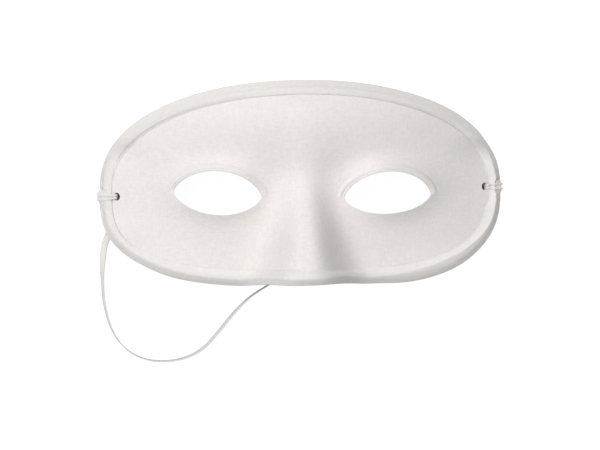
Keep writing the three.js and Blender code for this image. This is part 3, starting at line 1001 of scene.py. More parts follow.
@dataclass(frozen=True)
class EyeHole:
    """An eye hole: an almond, x = half cos t, y = up or down times sin t^point, tilted, in mm."""

    x: float
    y: float
    half: float
    up: float
    down: float
    point: float
    tilt: float

    def edge(self, angle: np.ndarray) -> np.ndarray:
        """Places of the edge, as if the hole were on the right side.

        Args:
            angle: The almond's own angle t at each place, in radians.

        Returns:
            The places, with a last axis of two.
        """
        across = self.half * np.cos(angle)
        sine = np.sin(angle)
        along = np.where(sine > 0, self.up, self.down) * np.sign(sine) * np.abs(sine) ** self.point
        return np.stack((self.x + across, self.y + along + self.tilt * across), axis=-1)


EYE_HOLES = {
    Side.LEFT: EyeHole(36.6, -4.3, 18.5, 9.9, 8.7, 1.3, 0.062),
    Side.RIGHT: EyeHole(35.6, -5.7, 18.6, 10.4, 7.5, 1.23, 0.038),
}


@dataclass(frozen=True)
class Ridge:
    """A round ridge along an edge, or a groove where the height is below 0, in mm."""

    height: float
    away: float
    wide: float

    def at(self, away: np.ndarray) -> np.ndarray:
        """Height that the ridge adds at a distance from the edge."""
        return self.height * fall((away - self.away) / self.wide)


@dataclass(frozen=True)
class RolledLip:
    """The upper lip of an eye hole: a level strip, then a bead and a fine crease, in mm."""

    strip: float = 1.25
    blend_in: float = 0.3
    blend_out: float = 0.4
    drop: float = 0.2
    up_from: float = -0.15
    up_to: float = 0.3
    bead: Ridge = Ridge(0.28, 2.1, 0.6)
    crease: Ridge = Ridge(-0.14, 3.3, 0.35)
    edge_round: float = 0.3
    thicker: float = 0.4
    thick_fade: float = 2.4

    def upper(self, upward: np.ndarray) -> np.ndarray:
        """Share of the lip round the hole's edge: 1 along its top and 0 along its bottom."""
        return smooth_step(self.up_from, self.up_to, upward)

    def levelled(self, away: np.ndarray, upward: np.ndarray) -> np.ndarray:
        """How far the face is brought to the strip's own level, from 0 to 1."""
        past = smooth_step(self.strip - self.blend_in, self.strip + self.blend_out, away)
        return self.upper(upward) * (1.0 - past)

    def relief(self, away: np.ndarray, upward: np.ndarray) -> np.ndarray:
        """Height of the bead and the crease."""
        return self.upper(upward) * (self.bead.at(away) + self.crease.at(away))

    def roll(self, away: np.ndarray) -> np.ndarray:
        """How far the face drops in the quarter round at the hole's very edge."""
        inside = np.clip((self.edge_round - away) / self.edge_round, 0.0, 1.0)
        return self.edge_round * (1.0 - np.sqrt(1.0 - inside**2))


@dataclass(frozen=True)
class EdgeShare:
    """A share from 0 to 1 round the edge, by how far the way out leans towards one direction."""

    way_x: float
    way_y: float
    begins: float
    ends: float

    def at(self, out_x: np.ndarray, out_y: np.ndarray) -> np.ndarray:
        """The share where the way out has these parts."""
        return smooth_step(self.begins, self.ends, self.way_x * out_x + self.way_y * out_y)


SLOW_SIDE = EdgeShare(0.75, -0.66, -0.2, 0.65)
THICK_SIDE = EdgeShare(1.0, -0.5, 0.45, 0.85)


@dataclass
class MaskShell:
    """The moulded shell: one closed surface with two rolled eye holes and two cord holes."""

    mould: Mould
    rim_steps: int = 168
    nose_steps: int = 72
    rings: int = 74
    ring_power: float = 1.9
    wall_steps: int = 5
    lip: RolledLip = RolledLip()
    rim_groove: Ridge = Ridge(-0.2, 6.0, 0.5)
    rim_swell: float = 0.3
    swell_from: float = 6.0
    swell_to: float = 14.0
    slow_side: EdgeShare = SLOW_SIDE
    uneven: Ripples = Ripples(0.045, 11, 9, 14.0, 44.0)
    wall_uneven: Ripples = Ripples(0.06, 23, 9, 9.0, 30.0)
    wall_even: float = 6.0
    wall_bow: float = 0.12
    back_roll: float = 0.6
    cord_hole_radius: float = 1.7
    cord_hole_reach: float = 7.5
    cord_hole_sides: int = 56
    cord_hole_depth: float = 8.0
    sharp_angle: float = 50.0

    def plan(self, hole: EyeHole) -> tuple[np.ndarray, np.ndarray, np.ndarray]:
        """One half's plan, as if on the right: spokes from the eye hole to the rim or centre line.

        Each spoke runs from the almond to the boundary, and its steps grow as the 1.9th power, so
        that they are finest at the rolled edge of the hole.

        Args:
            hole: The half's eye hole.

        Returns:
            The places (spoke, ring, 2), the distance of each from the hole's edge, and how far up
            the hole's edge each spoke starts, from -1 to 1.
        """
        places, _ = self.mould.outline.half_run(self.rim_steps)
        _, out_x, out_y = self.mould.outline.rim(places[:, 0], places[:, 1])
        rim = places - self.mould.inset * np.column_stack((out_x, out_y))
        rim[[0, -1], 0] = 0.0
        down = np.linspace(rim[-1, 1], rim[0, 1], self.nose_steps + 1)[1:-1]
        outer = np.concatenate((rim, np.column_stack((np.zeros_like(down), down))))
        angle = np.arctan2(outer[:, 1] - hole.y, outer[:, 0] - hole.x)
        inner = hole.edge(angle)
        part = (np.linspace(0.0, 1.0, self.rings + 1) ** self.ring_power)[None, :, None]
        plan = inner[:, None, :] + (outer - inner)[:, None, :] * part
        away = np.linalg.norm(plan - inner[:, None, :], axis=-1)
        return plan, away, np.sin(angle)[:, None] * np.ones_like(away)

    def half(self, side: Side) -> tuple[np.ndarray, np.ndarray, np.ndarray]:
        """Front, back and hole wall of one half.

        Near the eye hole the front has a round roll down into it, then a bead, then a fine crease,
        and the wall is thicker. Along the rim it dips into a shallow groove beside the binding, or
        on the slow sides swells up to it. The hole's wall bows out between the two faces.

        Args:
            side: Which half.

        Returns:
            Points of the front (spoke, ring, 3), of the back, and of the wall (spoke, step, 3).
        """
        plan, away, upward = self.plan(EYE_HOLES[side])
        x, y = plan[..., 0] * side.value, plan[..., 1]
        depth, out_x, out_y = self.mould.outline.rim(x, y)
        normal = self.mould.normal(x, y)
        face = self.mould.front(x, y)
        lip = self.lip
        foot = plan[:, 0] + unit(plan[:, -1] - plan[:, 0]) * lip.strip
        level = self.mould.front(foot[:, 0] * side.value, foot[:, 1])[:, None, 2] - lip.drop
        face[..., 2] += (level - face[..., 2]) * lip.levelled(away, upward)
        relief = lip.relief(away, upward) + self.uneven.at(x, y)
        slow = self.slow_side.at(out_x, out_y)
        relief += self.rim_groove.at(depth) * (1.0 - slow)
        relief += self.rim_swell * slow * (1.0 - smooth_step(self.swell_from, self.swell_to, depth))
        roll = lip.roll(away)
        by_hole = fall(away / lip.thick_fade)
        wall = self.mould.wall + lip.thicker * by_hole
        wall = wall + self.wall_uneven.at(x, y) * smooth_step(0.0, self.wall_even, away)
        upright = by_hole[..., None]
        through = unit(normal * (1.0 - upright) + np.array([0.0, 0.0, 1.0]) * upright)
        front = face + normal * relief[..., None] - through * roll[..., None]
        back = face - through * (wall - self.back_roll * roll)[..., None]
        step = np.linspace(0.0, 1.0, self.wall_steps + 2)[1:-1][None, :, None]
        outward = unit(front[:, 2:3] - front[:, :1])
        bow = self.wall_bow * outward * np.sin(math.pi * step)
        edge_wall = front[:, :1] + (back[:, :1] - front[:, :1]) * step - bow
        return front, back, edge_wall

    def mesh(self) -> bpy.types.Mesh:
        """Joins the two halves on the centre line and closes the rim and the eye holes.

        Returns:
            The closed mesh, with the back in its own material slot.
        """
        spokes, rings = self.rim_steps + self.nose_steps - 1, self.rings + 1
        points, faces, slots = [], [], []
        centre = np.zeros(spokes, bool)
        centre[[0, self.rim_steps - 1]] = True
        centre[self.rim_steps:] = True
        shared: dict[Face, np.ndarray] = {}
        start = 0
        for side in Side:
            front, back, edge_wall = self.half(side)
            front_ids = start + np.arange(spokes * rings).reshape(spokes, rings)
            back_ids = front_ids + spokes * rings
            wall_ids = start + 2 * spokes * rings + np.arange(spokes * self.wall_steps)
            start += spokes * (2 * rings + self.wall_steps)
            points += [sheet.reshape(-1, 3) for sheet in (front, back, edge_wall)]
            for face, ids in ((Face.FRONT, front_ids), (Face.BACK, back_ids)):
                if face in shared:
                    ids[centre, -1] = shared[face][centre]
                else:
                    shared[face] = ids[:, -1].copy()
            wall_ids = wall_ids.reshape(spokes, -1)
            ring = np.concatenate((front_ids[:, :1], wall_ids, back_ids[:, :1]), axis=1)
            rim = np.stack((front_ids, back_ids), axis=1)[: self.rim_steps, :, -1]
            for face, ids, close in ((Face.FRONT, front_ids, True), (Face.BACK, back_ids, True),
                                     (Face.FRONT, ring, True), (Face.FRONT, rim, False)):
                faces.append(ids.ravel()[grid_quads(*ids.shape, close, False)])
                slots.append(np.full(len(faces[-1]), face.value))
        used, faces_in = np.unique(np.concatenate(faces), return_inverse=True)
        mesh = write_mesh("mask_shell", np.concatenate(points)[used], faces_in.reshape(-1, 4))
        mesh.polygons.foreach_set("material_index", np.concatenate(slots).astype(np.int32))
        turn_outwards(mesh)
        return mesh

    def cutter(self, temple: Temple) -> bpy.types.Object:
        """A round bar that stands along the face's normal through a cord hole.

        Args:
            temple: The temple end with the hole.

        Returns:
            The bar, which is removed after the cut.
        """
        x, y = self.mould.beside(temple, self.cord_hole_reach)
        centre = Vector(self.mould.layer(x, y, np.array(-self.mould.wall / 2)))
        turn = Vector(self.mould.normal(x, y)).to_track_quat("Z", "Y").to_matrix().to_4x4()
        shape = bmesh.new()
        radius = self.cord_hole_radius * MM
        bmesh.ops.create_cone(shape, cap_ends=True, segments=self.cord_hole_sides, radius1=radius,
                              radius2=radius, depth=self.cord_hole_depth * MM,
                              matrix=Matrix.Translation(centre * MM) @ turn)
        mesh = bpy.data.meshes.new("cord_hole_bar")
        shape.to_mesh(mesh)
        shape.free()
        return add_object("cord_hole_bar", mesh)

    def build(self, front: bpy.types.Material, back: bpy.types.Material) -> bpy.types.Object:
        """Makes the shell, cuts its cord holes and puts it in the CAD shell's place.

        Args:
            front: Finish of the face and of the eye holes' edges.
            back: Finish of the hollow side.

        Returns:
            The shell's object.
        """
        piece = place_object("moulded_shell", self.mesh(), front, back)
        for temple in TEMPLES:
            bar = self.cutter(temple)
            cut = piece.modifiers.new("cord_hole", "BOOLEAN")
            cut.operation = "DIFFERENCE"
            cut.solver = "EXACT"
            cut.object = bar
            finished = bpy.data.meshes.new_from_object(
                piece.evaluated_get(bpy.context.evaluated_depsgraph_get()))
            piece.modifiers.clear()
            piece.data = finished
            bpy.data.objects.remove(bar)
        piece.data.set_sharp_from_angle(angle=math.radians(self.sharp_angle))
        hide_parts("mask_shell")
        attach(piece, "root")
        return piece


@dataclass(frozen=True)
class PullCrease:
    """A slanting crease beside a cord loop: a ridge with a groove beside it, in mm.

    It starts at the outer edge next to the loop and runs inwards and away from it.
    """

    start: float
    lean: float
    length: float
    fade_in: float = 0.8
    fade_out: float = 1.6
    ridge: Ridge = Ridge(1.0, 0.0, 0.7)
    groove: Ridge = Ridge(-0.9, 1.3, 0.8)

    def at(self, off: np.ndarray, inset: np.ndarray) -> np.ndarray:
        """The crease's shape by the way along from the loop and in from the outline.

        Args:
            off: Distance along from the loop's own height, in mm.
            inset: Distance in from the outline, in mm.

        Returns:
            Shares of the crease's height, about -1 to 1.
        """
        beside = np.abs(off) - self.start - self.lean * inset
        ended = smooth_step(self.length - self.fade_out, self.length, inset)
        shape = self.ridge.at(beside) + self.groove.at(beside)
        return smooth_step(0.0, self.fade_in, inset) * (1.0 - ended) * shape


@dataclass
class EdgeBinding:
    """The strip folded over the shell's edge: a closed ring of one rolled section, in mm.

    On the slow sides the strip's front runs out into the face, and on the thick side it is wider.
    The crest fields say how much further in the crest lies where the edge faces up or down, a
    lower corner, the thick side or the left. The facet fields say how its outer slope changes. The
    nose is the fold's ellipse. The tight fields are where the puckers reach their full height.
    """

    mould: Mould
    half_steps: int = 400
    height: float = 1.6
    slow_higher: float = 0.5
    crest: float = 2.4
    crest_further: float = 1.0
    crest_corner: float = 0.7
    crest_thick: float = 1.55
    crest_left: float = 0.8
    facet: float = 0.7
    facet_less_up: float = 1.1
    facet_less_down: float = 0.75
    facet_more_left: float = 0.25
    ridge_round: float = 0.35
    front_reach: float = 5.7
    edge_round: float = 0.4
    quick_fall: float = 1.45
    quick_power: float = 2.2
    slow_further: float = 0.6
    thick_further: float = 0.8
    corner_further: float = 0.6
    slow_power: float = 1.5
    rim_swell: float = 0.3
    slow_side: EdgeShare = SLOW_SIDE
    thick_side: EdgeShare = THICK_SIDE
    back_height: float = 1.95
    back_reach: float = 5.6
    back_thinner: float = 0.55
    back_thinner_from: float = 4.3
    hidden_share: float = 0.6
    hidden_short: float = 0.1
    plain_until: float = 0.02
    varied_from: float = 0.12
    nose_inset: float = 1.2
    nose_centre: float = -0.6
    nose_out: float = 1.3
    lowest: float = 0.02
    points: tuple[int, int, int, int] = (34, 16, 14, 8)
    fold_ripples: Ripples = Ripples(0.03, 31, 6, 3.0, 9.0)
    fold_turn_run: float = 2.0
    striation: Ripples = Ripples(0.035, 41, 7, 0.8, 2.2)
    striation_sway: float = 0.25
    sway_run: float = 17.0
    striation_drawn: float = 0.04
    pucker: Ripples = Ripples(0.05, 43, 8, 3.0, 8.0)
    pucker_drawn: float = 0.35
    pucker_slack: float = 0.25
    tight_from: float = 60.0
    tight_to: float = 82.0
    relief_fade: float = 0.8
    creases: tuple[PullCrease, ...] = (PullCrease(2.5, 1.25, 4.6), PullCrease(3.6, 0.8, 3.2))
    pull: float = 0.15
    pinch: float = 0.8
    pinch_from: float = 2.0

    def front_profile(self, inset: np.ndarray, out_x: np.ndarray, out_y: np.ndarray) -> np.ndarray:
        """Height of the strip's front over the shell.

        Outside its crest the strip falls as a flat facet, rounded at the crest as a hyperbola.
        Inside, it falls on the quick sides as 1 - t^2.2, which ends in a thin rounded edge, and on
        the slow sides as (1 - t)^1.5, which runs out into the face. The crest is further in on the
        thick side.

        Args:
            inset: Distance in from the outline, in mm.
            out_x: X part of the way out there.
            out_y: Y part of the way out there.

        Returns:
            The heights, in mm.
        """
        slow = self.slow_side.at(out_x, out_y)
        crest = self.crest + self.crest_further * out_y**2
        crest = crest + self.crest_corner * np.abs(2.0 * out_x * np.minimum(out_y, 0.0))
        crest = crest + self.crest_thick * self.thick_side.at(out_x, out_y)
        crest = crest + self.crest_left * np.maximum(-out_x, 0.0) ** 2
        less = self.facet_less_up * np.maximum(out_y, 0.0)
        less = less + self.facet_less_down * np.maximum(-out_y, 0.0)
        facet = self.facet - less + self.facet_more_left * np.maximum(-out_x, 0.0) ** 2
        outer = np.hypot(np.maximum(crest - inset, 0.0), self.ridge_round) - self.ridge_round
        inner = np.clip((inset - crest) / (self.reach(out_x, out_y) - crest), 0.0, 1.0)
        near = np.clip((self.front_reach - inset) / self.edge_round, 0.0, 1.0)
        quick = self.height - self.quick_fall * inner**self.quick_power
        quick = quick * np.sqrt(1.0 - (1.0 - near) ** 2)
        gentle = (self.height + self.slow_higher) * (1.0 - inner) ** self.slow_power
        gentle = gentle + self.rim_swell
        return quick + (gentle - quick) * slow - facet * outer

    def reach(self, out_x: np.ndarray, out_y: np.ndarray) -> np.ndarray:
        """How far in the strip's front reaches, in mm.

        It reaches further on the slow and thick sides and in the lower right and upper left
        corners. At the cord holes, where the way out has next to no Y part, the sides add nothing.

        Args:
            out_x: X part of the way out.
            out_y: Y part of the way out.

        Returns:
            The distances in from the outline, in mm.
        """
        varied = smooth_step(self.plain_until, self.varied_from, np.abs(out_y))
        corner = np.maximum(-2.0 * out_x * out_y, 0.0)
        further = self.slow_further * self.slow_side.at(out_x, out_y)
        further = further + self.thick_further * self.thick_side.at(out_x, out_y)
        return self.front_reach + varied * further + self.corner_further * corner

    def fold_height(self, turn: np.ndarray, out_x: np.ndarray, out_y: np.ndarray,
                    tied: np.ndarray, clear: float = 0.0) -> np.ndarray:
        """Height over the face on the fold, a half ellipse that joins the strip's front and back.

        Args:
            turn: Turn round the fold, from 0 at the front to pi at the back.
            out_x: X part of the way out.
            out_y: Y part of the way out.
            tied: How far a loop presses the strip there, from 0 to 1.
            clear: How far outside the strip's own surface, in mm.

        Returns:
            The heights, in mm.
        """
        inset = np.array(self.nose_inset)
        front = self.front_profile(inset, out_x, out_y) - self.nose_centre + clear
        front = front - tied * self.pinched(inset)
        back = self.back_height + self.nose_centre + clear
        return np.where(np.cos(turn) > 0, front, back) * np.cos(turn) + self.nose_centre

    def pinched(self, inset: np.ndarray) -> np.ndarray:
        """How far a loop presses the strip's front down under it: most at the edge, in mm."""
        return self.pinch * (1.0 - smooth_step(self.pinch_from, self.front_reach, inset))

    def ring(self) -> tuple[np.ndarray, np.ndarray, np.ndarray]:
        """Stations right round the outline.

        Returns:
            The places (station, 2), the ways out, and the run along the edge of each, in mm.
        """
        places, run = self.mould.outline.half_run(self.half_steps)
        left = places[::-1][1:-1] * np.array([-1.0, 1.0])
        around = np.concatenate((places, left))
        along = np.concatenate((run, 2.0 * run[-1] - run[::-1][1:-1]))
        _, out_x, out_y = self.mould.outline.rim(around[:, 0], around[:, 1])
        return around, np.column_stack((out_x, out_y)), along

    def pull_creases(self, x: np.ndarray, y: np.ndarray, inset: np.ndarray) -> np.ndarray:
        """Slanting creases pulled out by each loop, beside it on both sides.

        Args:
            x: Places across, in mm.
            y: Places up, in mm.
            inset: Distance in from the outline, in mm.

        Returns:
            Height to add, as a share of the creases' own.
        """
        relief = np.zeros(np.broadcast(x, y, inset).shape)
        for temple in TEMPLES:
            for crease in self.creases:
                shape = crease.at(y - temple.y, inset)
                relief += np.where(np.sign(x) == temple.side.value, shape, 0.0)
        return relief

    def section_points(self) -> tuple[np.ndarray, np.ndarray]:
        """All sections as one array.

        The front flange follows the face at the profile's height, with ripples, puckers and the
        creases at the loops. The fold is a half ellipse about the shell's edge. The back flange
        follows the shell's back, and a last run inside the shell's own wall closes the section.

        Returns:
            The points (station, corner, 3) and the way across the strip of each corner, in mm.
        """
        around, way_out, along = self.ring()
        x, y, out_x, out_y = around[:, :1], around[:, 1:], way_out[:, :1], way_out[:, 1:]
        front_count, fold_count, back_count, hidden_count = self.points
        tied = self.mould.tie_pull.share(x, y, 0.0, self.mould.inset)
        reach = self.reach(out_x, out_y)
        inset = reach - (reach - self.nose_inset) * np.linspace(0.0, 1.0, front_count)[None, :]
        height = self.front_profile(inset, out_x, out_y)
        height = height + self.relief(x - inset * out_x, y - inset * out_y, inset, along[:, None])
        flanges = [(inset, height - tied * self.pinched(inset))]
        inset = np.linspace(self.nose_inset, self.back_reach, back_count)[None, :]
        thinner = smooth_step(self.back_thinner_from, self.back_reach, inset)
        flanges.append((inset, -self.back_height + self.back_thinner * thinner))
        inset = np.linspace(self.back_reach - self.hidden_short, self.nose_inset, hidden_count)
        hidden_height = np.full((1, hidden_count), -self.hidden_share * self.mould.wall)
        flanges.append((inset[None, :], hidden_height))
        front, back, hidden = (self.mould.layer(x - inset * out_x, y - inset * out_y, height)
                               for inset, height in flanges)
        turn = np.linspace(0.0, math.pi, fold_count + 2)[None, 1:-1]
        base, normal, outward = (part[:, None, :] for part in self.mould.edge_frame(
            around - self.nose_inset * way_out, way_out))
        swing = self.fold_height(turn, out_x, out_y, tied)
        ripple = 1.0 + self.fold_ripples.at(along[:, None], self.fold_turn_run * turn)
        fold = (base + normal * swing[..., None]
                + outward * (self.nose_out * np.sin(turn) * ripple)[..., None])
        points = np.concatenate((front, fold, back, hidden), axis=1)
        points[..., 2] = np.maximum(points[..., 2], self.lowest)
        return points, run_along(points[0])

    def relief(self, x: np.ndarray, y: np.ndarray, inset: np.ndarray,
               along: np.ndarray) -> np.ndarray:
        """Ripples along the strip, puckers across it and the creases beside the loops.

        Args:
            x: Places across, in mm.
            y: Places up, in mm.
            inset: Distance in from the outline, in mm.
            along: The run along the edge, in mm.

        Returns:
            Height to add, in mm.
        """
        swayed = inset + self.striation_sway * np.sin(along / self.sway_run)
        lines = self.striation.at(swayed, along * self.striation_drawn)
        puckers = self.pucker.at(along, inset * self.pucker_drawn)
        tight = smooth_step(self.tight_from, self.tight_to, np.abs(x))
        puckers = puckers * (self.pucker_slack + (1.0 - self.pucker_slack) * tight)
        fade = smooth_step(self.nose_inset, self.nose_inset + self.relief_fade, inset)
        return fade * (lines + puckers) + self.pull * self.pull_creases(x, y, inset)

    def build(self, finish: bpy.types.Material) -> bpy.types.Object:
        """Makes the binding and puts it in the CAD binding's place.

        Args:
            finish: The strip's material.

        Returns:
            The binding's object.
        """
        points, across = self.section_points()
        stations, corners = points.shape[:2]
        quads = grid_quads(stations, corners, True, True)
        mesh = write_mesh("edge_binding", points.reshape(-1, 3), quads)
        _, _, along = self.ring()
        write_strip_uv(mesh, np.repeat(along, corners), np.tile(across, stations))
        turn_outwards(mesh)
        piece = place_object("rolled_binding", mesh, finish)
        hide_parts("edge_binding")
        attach(piece, "root")
        return piece


def flat_section(width: float, thick: float, count: int, power: float = 3.2) -> np.ndarray:
    """A flat strand's section: a superellipse, x = w cos^(2/p) and y = t sin^(2/p).

    Args:
        width: Full width, in mm.
        thick: Full thickness, in mm.
        count: How many points.
        power: The superellipse's power.

    Returns:
        The points, one row each.
    """
    angle = np.linspace(0.0, math.tau, count, endpoint=False) + math.tau / (2 * count)
    turn = np.column_stack((np.cos(angle), np.sin(angle)))
    return 0.5 * np.array((width, thick)) * np.sign(turn) * np.abs(turn) ** (2.0 / power)


def sweep(path: np.ndarray, wide: np.ndarray, thick: np.ndarray, section: np.ndarray) -> np.ndarray:
    """Carries a section along a path.

    Args:
        path: Places of the path, one row each.
        wide: The direction of the section's width at each place.
        thick: The direction of its thickness at each place.
        section: Points of the section, or one such set for each place.

    Returns:
        The points (place, corner, 3).
    """
    section = np.broadcast_to(section, (len(path), *section.shape[-2:]))
    return (path[:, None, :] + wide[:, None, :] * section[..., :1]
            + thick[:, None, :] * section[..., 1:])


@dataclass
class TempleTie:
    """One tied end: two flat strands looped over the edge, and their knot behind the cord hole."""

    mould: Mould
    binding: EdgeBinding
    temple: Temple
    strand_thick: float = 0.55
    hole_width: float = 0.85
    clear: float = 0.08
    back_clear: float = 0.1
    table_clear: float = 0.05
    lean: float = 0.16
    steps: int = 110
    section_points: int = 18
    over_stops: tuple[tuple[float, float], ...] = ((5.2, 0.7), (4.2, 0.9), (3.1, 1.0), (2.0, 1.0))
    under_stops: tuple[tuple[float, float], ...] = ((2.2, 1.0), (3.6, 1.0), (4.8, 0.9))
    fold_stops: tuple[float, ...] = (0.15, 0.325, 0.5, 0.675, 0.85)
    knot_reach: float = 5.7
    knot_drop: float = 4.3
    knot_strand: float = 0.85
    knot_flat: float = 1.5
    knot_size: float = 0.38
    knot_tall: float = 1.25
    knot_steps: int = 120
    knot_facing: tuple[float, float, float] = (0.31, 0.22, 0.93)

    def strand_route(self, way: int) -> tuple[np.ndarray, np.ndarray]:
        """The closed route of one strand, up through the hole, over the edge and back behind it.

        Each stop is its distance in from the outline, its height over the face and its spread,
        which is how far apart and how wide the two strands are, from 0 in the hole to 1. Over the
        strip and under it the height is the strip's own. The fold's stops are shares of its turn.

        Args:
            way: 1 for the upper strand and -1 for the lower.

        Returns:
            The route's points, and each point's spread.
        """
        half = self.strand_thick / 2 + self.clear
        wall, hole = self.mould.wall, self.temple.hole_inset
        under = -(self.binding.back_height + half + self.back_clear)
        front_stops = ((hole, -wall / 2, 0.0), (hole + 0.3, 0.2, 0.1), (6.4, 0.85, 0.35),
                       *((inset, self.strip_height(inset) + half, spread)
                         for inset, spread in self.over_stops))
        back_stops = (*((inset, under, spread) for inset, spread in self.under_stops),
                      (5.8, under + 0.5, 0.6), (hole - 0.2, -wall - 0.35, 0.3))
        front, back = ([(self.along(inset, height, way, spread), spread)
                        for inset, height, spread in stops] for stops in (front_stops, back_stops))
        around = [(self.around_fold(turn * math.pi, half, way), 1.0) for turn in self.fold_stops]
        points, spreads = zip(*front, *around, *back)
        return np.array(points), np.array(spreads)

    def strip_height(self, inset: float) -> float:
        """Height of the strip's front where the loop presses it down, at a distance in."""
        straight = np.array(float(self.temple.side.value)), np.array(0.0)
        return float(self.binding.front_profile(inset, *straight) - self.binding.pinched(inset))

    def along(self, inset: float, height: float, way: int, spread: float) -> np.ndarray:
        """A place of the route over the face or behind it.

        Args:
            inset: Distance in from the outline, in mm.
            height: Height over the face, in mm.
            way: 1 for the upper strand, -1 for the lower.
            spread: Its spread, from 0 in the hole to 1.

        Returns:
            The place, in mm.
        """
        point = self.mould.layer(*self.mould.beside(self.temple, inset), np.array(height))
        narrow, wide = self.temple.apart_in_hole, self.temple.apart
        point[1] = self.temple.y + way * (narrow + (wide - narrow) * spread)
        return point

    def around_fold(self, turn: float, clear: float, way: int) -> np.ndarray:
        """A place of the route round the folded edge, on an ellipse outside the binding's own.

        Args:
            turn: Turn round the fold, from 0 to pi.
            clear: How far outside the binding, in mm.
            way: 1 for the upper strand, -1 for the lower.

        Returns:
            The place, in mm.
        """
        edge = np.array(self.mould.beside(self.temple, self.binding.nose_inset))
        way_out = np.array((float(self.temple.side.value), 0.0))
        base, normal, outward = self.mould.edge_frame(edge, way_out)
        swing = self.binding.fold_height(turn, *way_out, 1.0, clear)
        point = base + normal * swing + outward * (self.binding.nose_out + clear) * math.sin(turn)
        point[1] = self.temple.y + way * self.temple.apart
        return point

    def strand(self, way: int) -> np.ndarray:
        """One closed strand, which leans a little as it goes round.

        Args:
            way: 1 for the upper strand, -1 for the lower.

        Returns:
            The points (place, corner, 3).
        """
        route, spread = self.strand_route(way)
        dressed = smooth_path(np.column_stack((route, spread)), self.steps, closed=True)
        path, share = dressed[:, :3], np.clip(dressed[:, 3], 0.0, 1.0)
        path[:, 2] = np.maximum(path[:, 2], self.strand_thick / 2 + self.table_clear)
        tangent = ring_tangent(path)
        lean = self.lean * way * np.sin(np.linspace(0.0, math.tau, self.steps, endpoint=False))
        wide = square_to(tangent, np.array([0.0, 1.0, 0.0]))
        thick = np.cross(tangent, wide)
        turned = wide * np.cos(lean)[:, None] + thick * np.sin(lean)[:, None]
        thick = np.cross(tangent, turned)
        width = self.hole_width + (self.temple.strand_width - self.hole_width) * share
        sizes = np.stack((width, np.full_like(share, self.strand_thick)), axis=-1)
        section = flat_section(1.0, 1.0, self.section_points)[None, :, :] * sizes[:, None, :]
        return sweep(path, turned, thick, section)

    def knot(self) -> np.ndarray:
        """The knot behind the hole, a trefoil.

        Its path is x = sin t + 2 sin 2t, y = cos t - 2 cos 2t and z = -sin 3t.

        Returns:
            The points (place, corner, 3).
        """
        turn = np.linspace(0.0, math.tau, self.knot_steps, endpoint=False)
        route = self.knot_size * np.column_stack((
            np.sin(turn) + 2 * np.sin(2 * turn),
            self.knot_tall * (np.cos(turn) - 2 * np.cos(2 * turn)),
            -np.sin(3 * turn)))
        centre = self.mould.front(*self.mould.beside(self.temple, self.knot_reach))
        path = route + (centre - np.array([0.0, 0.0, self.knot_drop]))
        tangent = ring_tangent(path)
        side_way = unit(np.cross(tangent, np.array(self.knot_facing)))
        section = flat_section(self.knot_flat * self.knot_strand, self.knot_strand,
                               self.section_points)
        return sweep(path, side_way, np.cross(tangent, side_way), section)

    def build(self, finish: bpy.types.Material) -> bpy.types.Object:
        """Makes the tied end and puts it in the place of its CAD solid.

        Args:
            finish: The elastic's material.

        Returns:
            The tied end's object.
        """
        bodies = [self.strand(1), self.strand(-1), self.knot()]
        points, faces, along, across = [], [], [], []
        start = 0
        for body in bodies:
            places, corners = body.shape[:2]
            steps = np.diff(body[:, 0], axis=0, prepend=body[-1:, 0])
            run = np.cumsum(np.linalg.norm(steps, axis=-1))
            points.append(body.reshape(-1, 3))
            faces.append(grid_quads(places, corners, True, True) + start)
            along.append(np.repeat(run, corners))
            round_section = np.arange(corners) * self.temple.strand_width * 2 / corners
            across.append(np.tile(round_section, places))
            start += places * corners
        mesh = write_mesh(self.temple.piece, np.concatenate(points), np.concatenate(faces))
        write_strip_uv(mesh, np.concatenate(along), np.concatenate(across))
        turn_outwards(mesh)
        piece = place_object(self.temple.piece, mesh, finish)
        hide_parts(self.temple.node)
        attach(piece, "root")
        return piece


